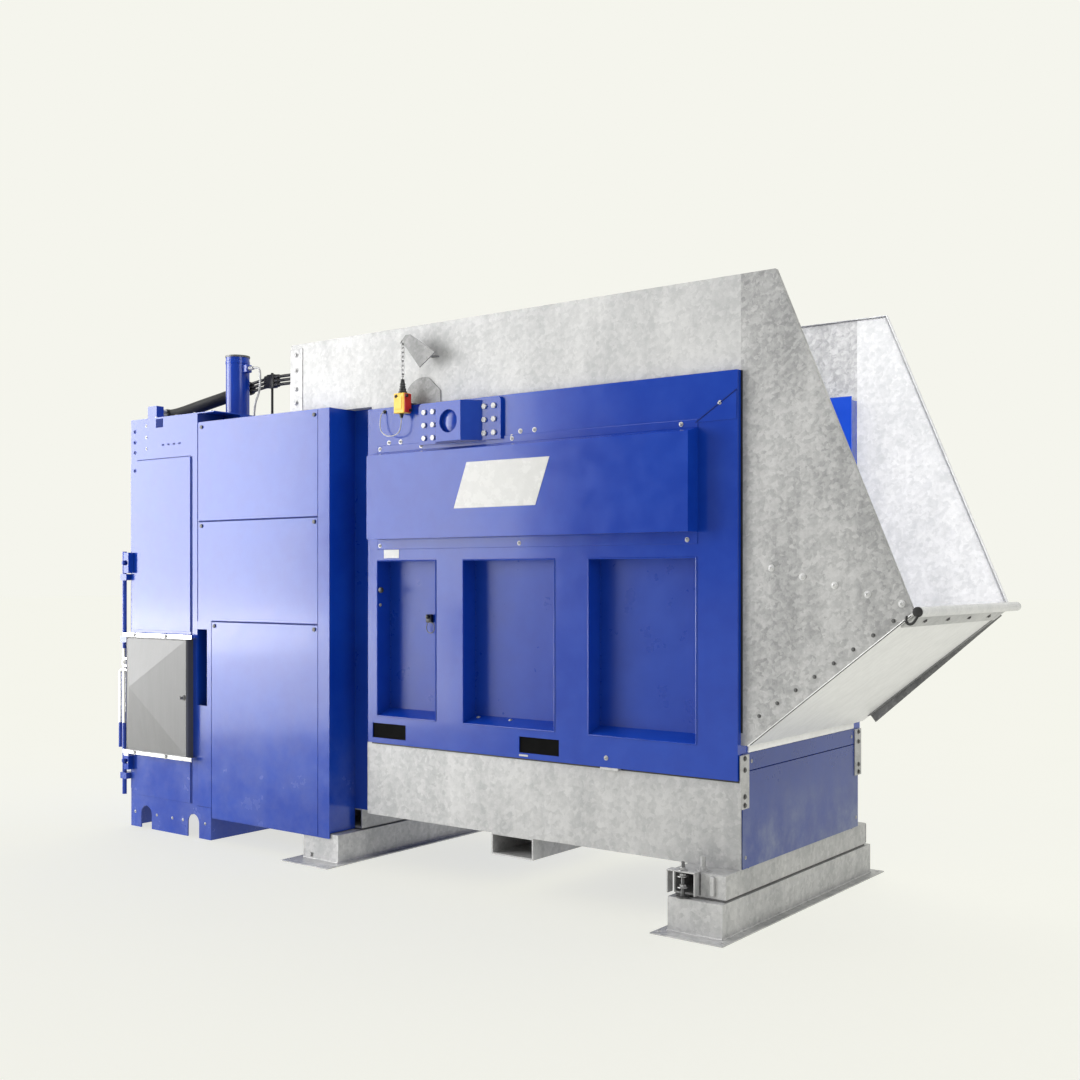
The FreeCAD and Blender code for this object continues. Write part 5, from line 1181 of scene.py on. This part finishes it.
# %% [markdown]
# Four screws hold the hem, square to the slope, and a dark shackle stands on each end of the
# rolled lip. The near one has a bent tail, which is a bar through five points.

# %% Hem screws and shackles
hem_screws = Work("hem_screws", dark_steel, "zinc")
screw_line = FOLD_FOOT + SLOPE * (LONG - 0.053) + UNDER * (SHEET + 0.0082)
hem_screws.bolts([screw_line + Vector((0, y, 0)) for y in (-0.42, -0.14, 0.14, 0.42)], UNDER, 0.008)
hem_screws.done(flat=False)
shackle = Work("lip_shackles", black_plastic, "lock_black")
for side, facing in SIDES:
    shackle.turned((2.6246, side * 0.6585, 1.457), facing, stub(0.005, 0.0215, 0.018, 0.004), 1.0, 28)
shackle.bar([(2.6246, -0.662, 1.440), (2.612, -0.664, 1.412), (2.588, -0.664, 1.404),
             (2.574, -0.664, 1.420), (2.580, -0.664, 1.440)], 0.006)
shackle.done(flat=False)

# %% [markdown]
# ## Floor
#
# The machine stands on a pale floor that runs out of sight. A large white sheet could be lit by
# the lamps, but their pools of light would show on it. The floor glows faintly by itself and
# takes only soft shade, so it meets the pale surround without a line.

# %% Floor
BACKDROP = (0.913, 0.913, 0.847, 1)
FLOOR_REACH = 90
floor_finish = Finish("floor")
floor_tone = floor_finish.noise(0.8, 3.0, 0.5)
floor_finish.set(Base_Color=floor_tone.mix((0.40, 0.40, 0.371, 1), (0.42, 0.42, 0.390, 1)),
                 Emission_Color=BACKDROP, Emission_Strength=0.755, Roughness=0.9,
                 Specular_IOR_Level=0.0)
ground = bmesh.new()
corners = [ground.verts.new((x * FLOOR_REACH, y * FLOOR_REACH, 0))
           for x, y in ((-1, -1), (1, -1), (1, 1), (-1, 1))]
bmesh.ops.contextual_create(ground, geom=corners)
floor_mesh = bpy.data.meshes.new("floor")
ground.to_mesh(floor_mesh)
ground.free()
floor_mesh.materials.append(floor_finish.material)
floor = bpy.data.objects.new("floor", floor_mesh)
bpy.context.scene.collection.objects.link(floor)
floor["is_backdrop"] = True
print("floor", 2 * FLOOR_REACH, "m wide")

# %% [markdown]
# ## Lights
#
# One broad bank of lights stands far to the left of the camera; the gloss panels on the left
# mirror it, and those on the right mirror the dim room beside it. A lamp overhead, one on the
# right and one for the inside of the hopper do the rest. Lamps that shone on everything would
# burn out the floor, so each one lights only the pieces that it is meant for.

# %% Lights
lit = bpy.data.collections.new("lit_by_the_lamps")
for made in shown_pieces():
    lit.objects.link(made)
inside = bpy.data.collections.new("inside_of_the_hopper")
for name in ("hopper_side_rear", "chute_side_rear", "chute_floor", "hopper_end",
             "chamber_wall_rear"):
    inside.objects.link(nodes[name])


def softbox(name, place, aim, size, power, receivers=lit):
    """A soft rectangular lamp that lights the receivers and isn't seen itself."""
    light = bpy.data.lights.new(name, "AREA")
    light.shape = "RECTANGLE"
    light.size, light.size_y = size
    light.energy = power
    lamp = bpy.data.objects.new(name, light)
    lamp.location = place
    lamp.rotation_mode = "QUATERNION"
    lamp.rotation_quaternion = (Vector(aim) - Vector(place)).to_track_quat("-Z", "Y")
    lamp.visible_camera = False
    lamp.light_linking.receiver_collection = receivers
    bpy.context.scene.collection.objects.link(lamp)


softbox("bank_far", (-10.5, -6.0, 3.6), (-1.8, -0.8, 1.2), (6.0, 6.4), 960)
softbox("bank_near", (-6.0, -7.6, 3.9), (-0.8, -0.8, 1.4), (2.2, 5.6), 190)
softbox("bank_low", (-6.2, -3.8, 0.03), (-4.9, -2.9, 3.0), (6.4, 5.0), 480)
softbox("overhead", (0.5, -1.0, 8.0), (0.2, 0.0, 1.0), (7.0, 5.0), 330)
softbox("right", (8.5, -2.5, 4.0), (1.5, 0.0, 1.4), (3.5, 3.5), 130)
softbox("inner", (4.2, -3.6, 3.6), (2.0, 0.6, 2.3), (2.0, 2.0), 400, inside)

# %% [markdown]
# ## Surround
#
# The surround is pale behind the machine and dim in front of it, so that gloss paint has
# something dark to mirror. Walls could be built, but they would stand in some view. The world
# can be asked for its colour by direction instead, and shows the camera one even pale tone.

# %% Surround
DIM_ROOM, PALE_WAY = (0.29, 0.29, 0.29, 1), (-0.45, 0.89, 0.0)
world = bpy.data.worlds.new("studio")
world.use_nodes = True
bpy.context.scene.world = world
sky = Tree(world.node_tree)
room, output = sky.tree.nodes["Background"], sky.tree.nodes["World Output"]
direction = sky.node("ShaderNodeTexCoord", {}, (), "Generated")
ahead = sky.node("ShaderNodeVectorMath", {"operation": "DOT_PRODUCT"}, (direction, PALE_WAY), "Value")
sky.feed(room.inputs["Color"], ahead.between(-0.25, 0.55).mix(DIM_ROOM, BACKDROP))
plain_back = sky.node("ShaderNodeBackground", {}, {"Color": BACKDROP})
seen = sky.node("ShaderNodeLightPath", {}, (), "Is Camera Ray")
either = sky.node("ShaderNodeMixShader", {}, (seen, Wire(sky, room.outputs[0]), plain_back))
sky.feed(output.inputs["Surface"], either)
print("surround", len(sky.tree.nodes), "nodes")
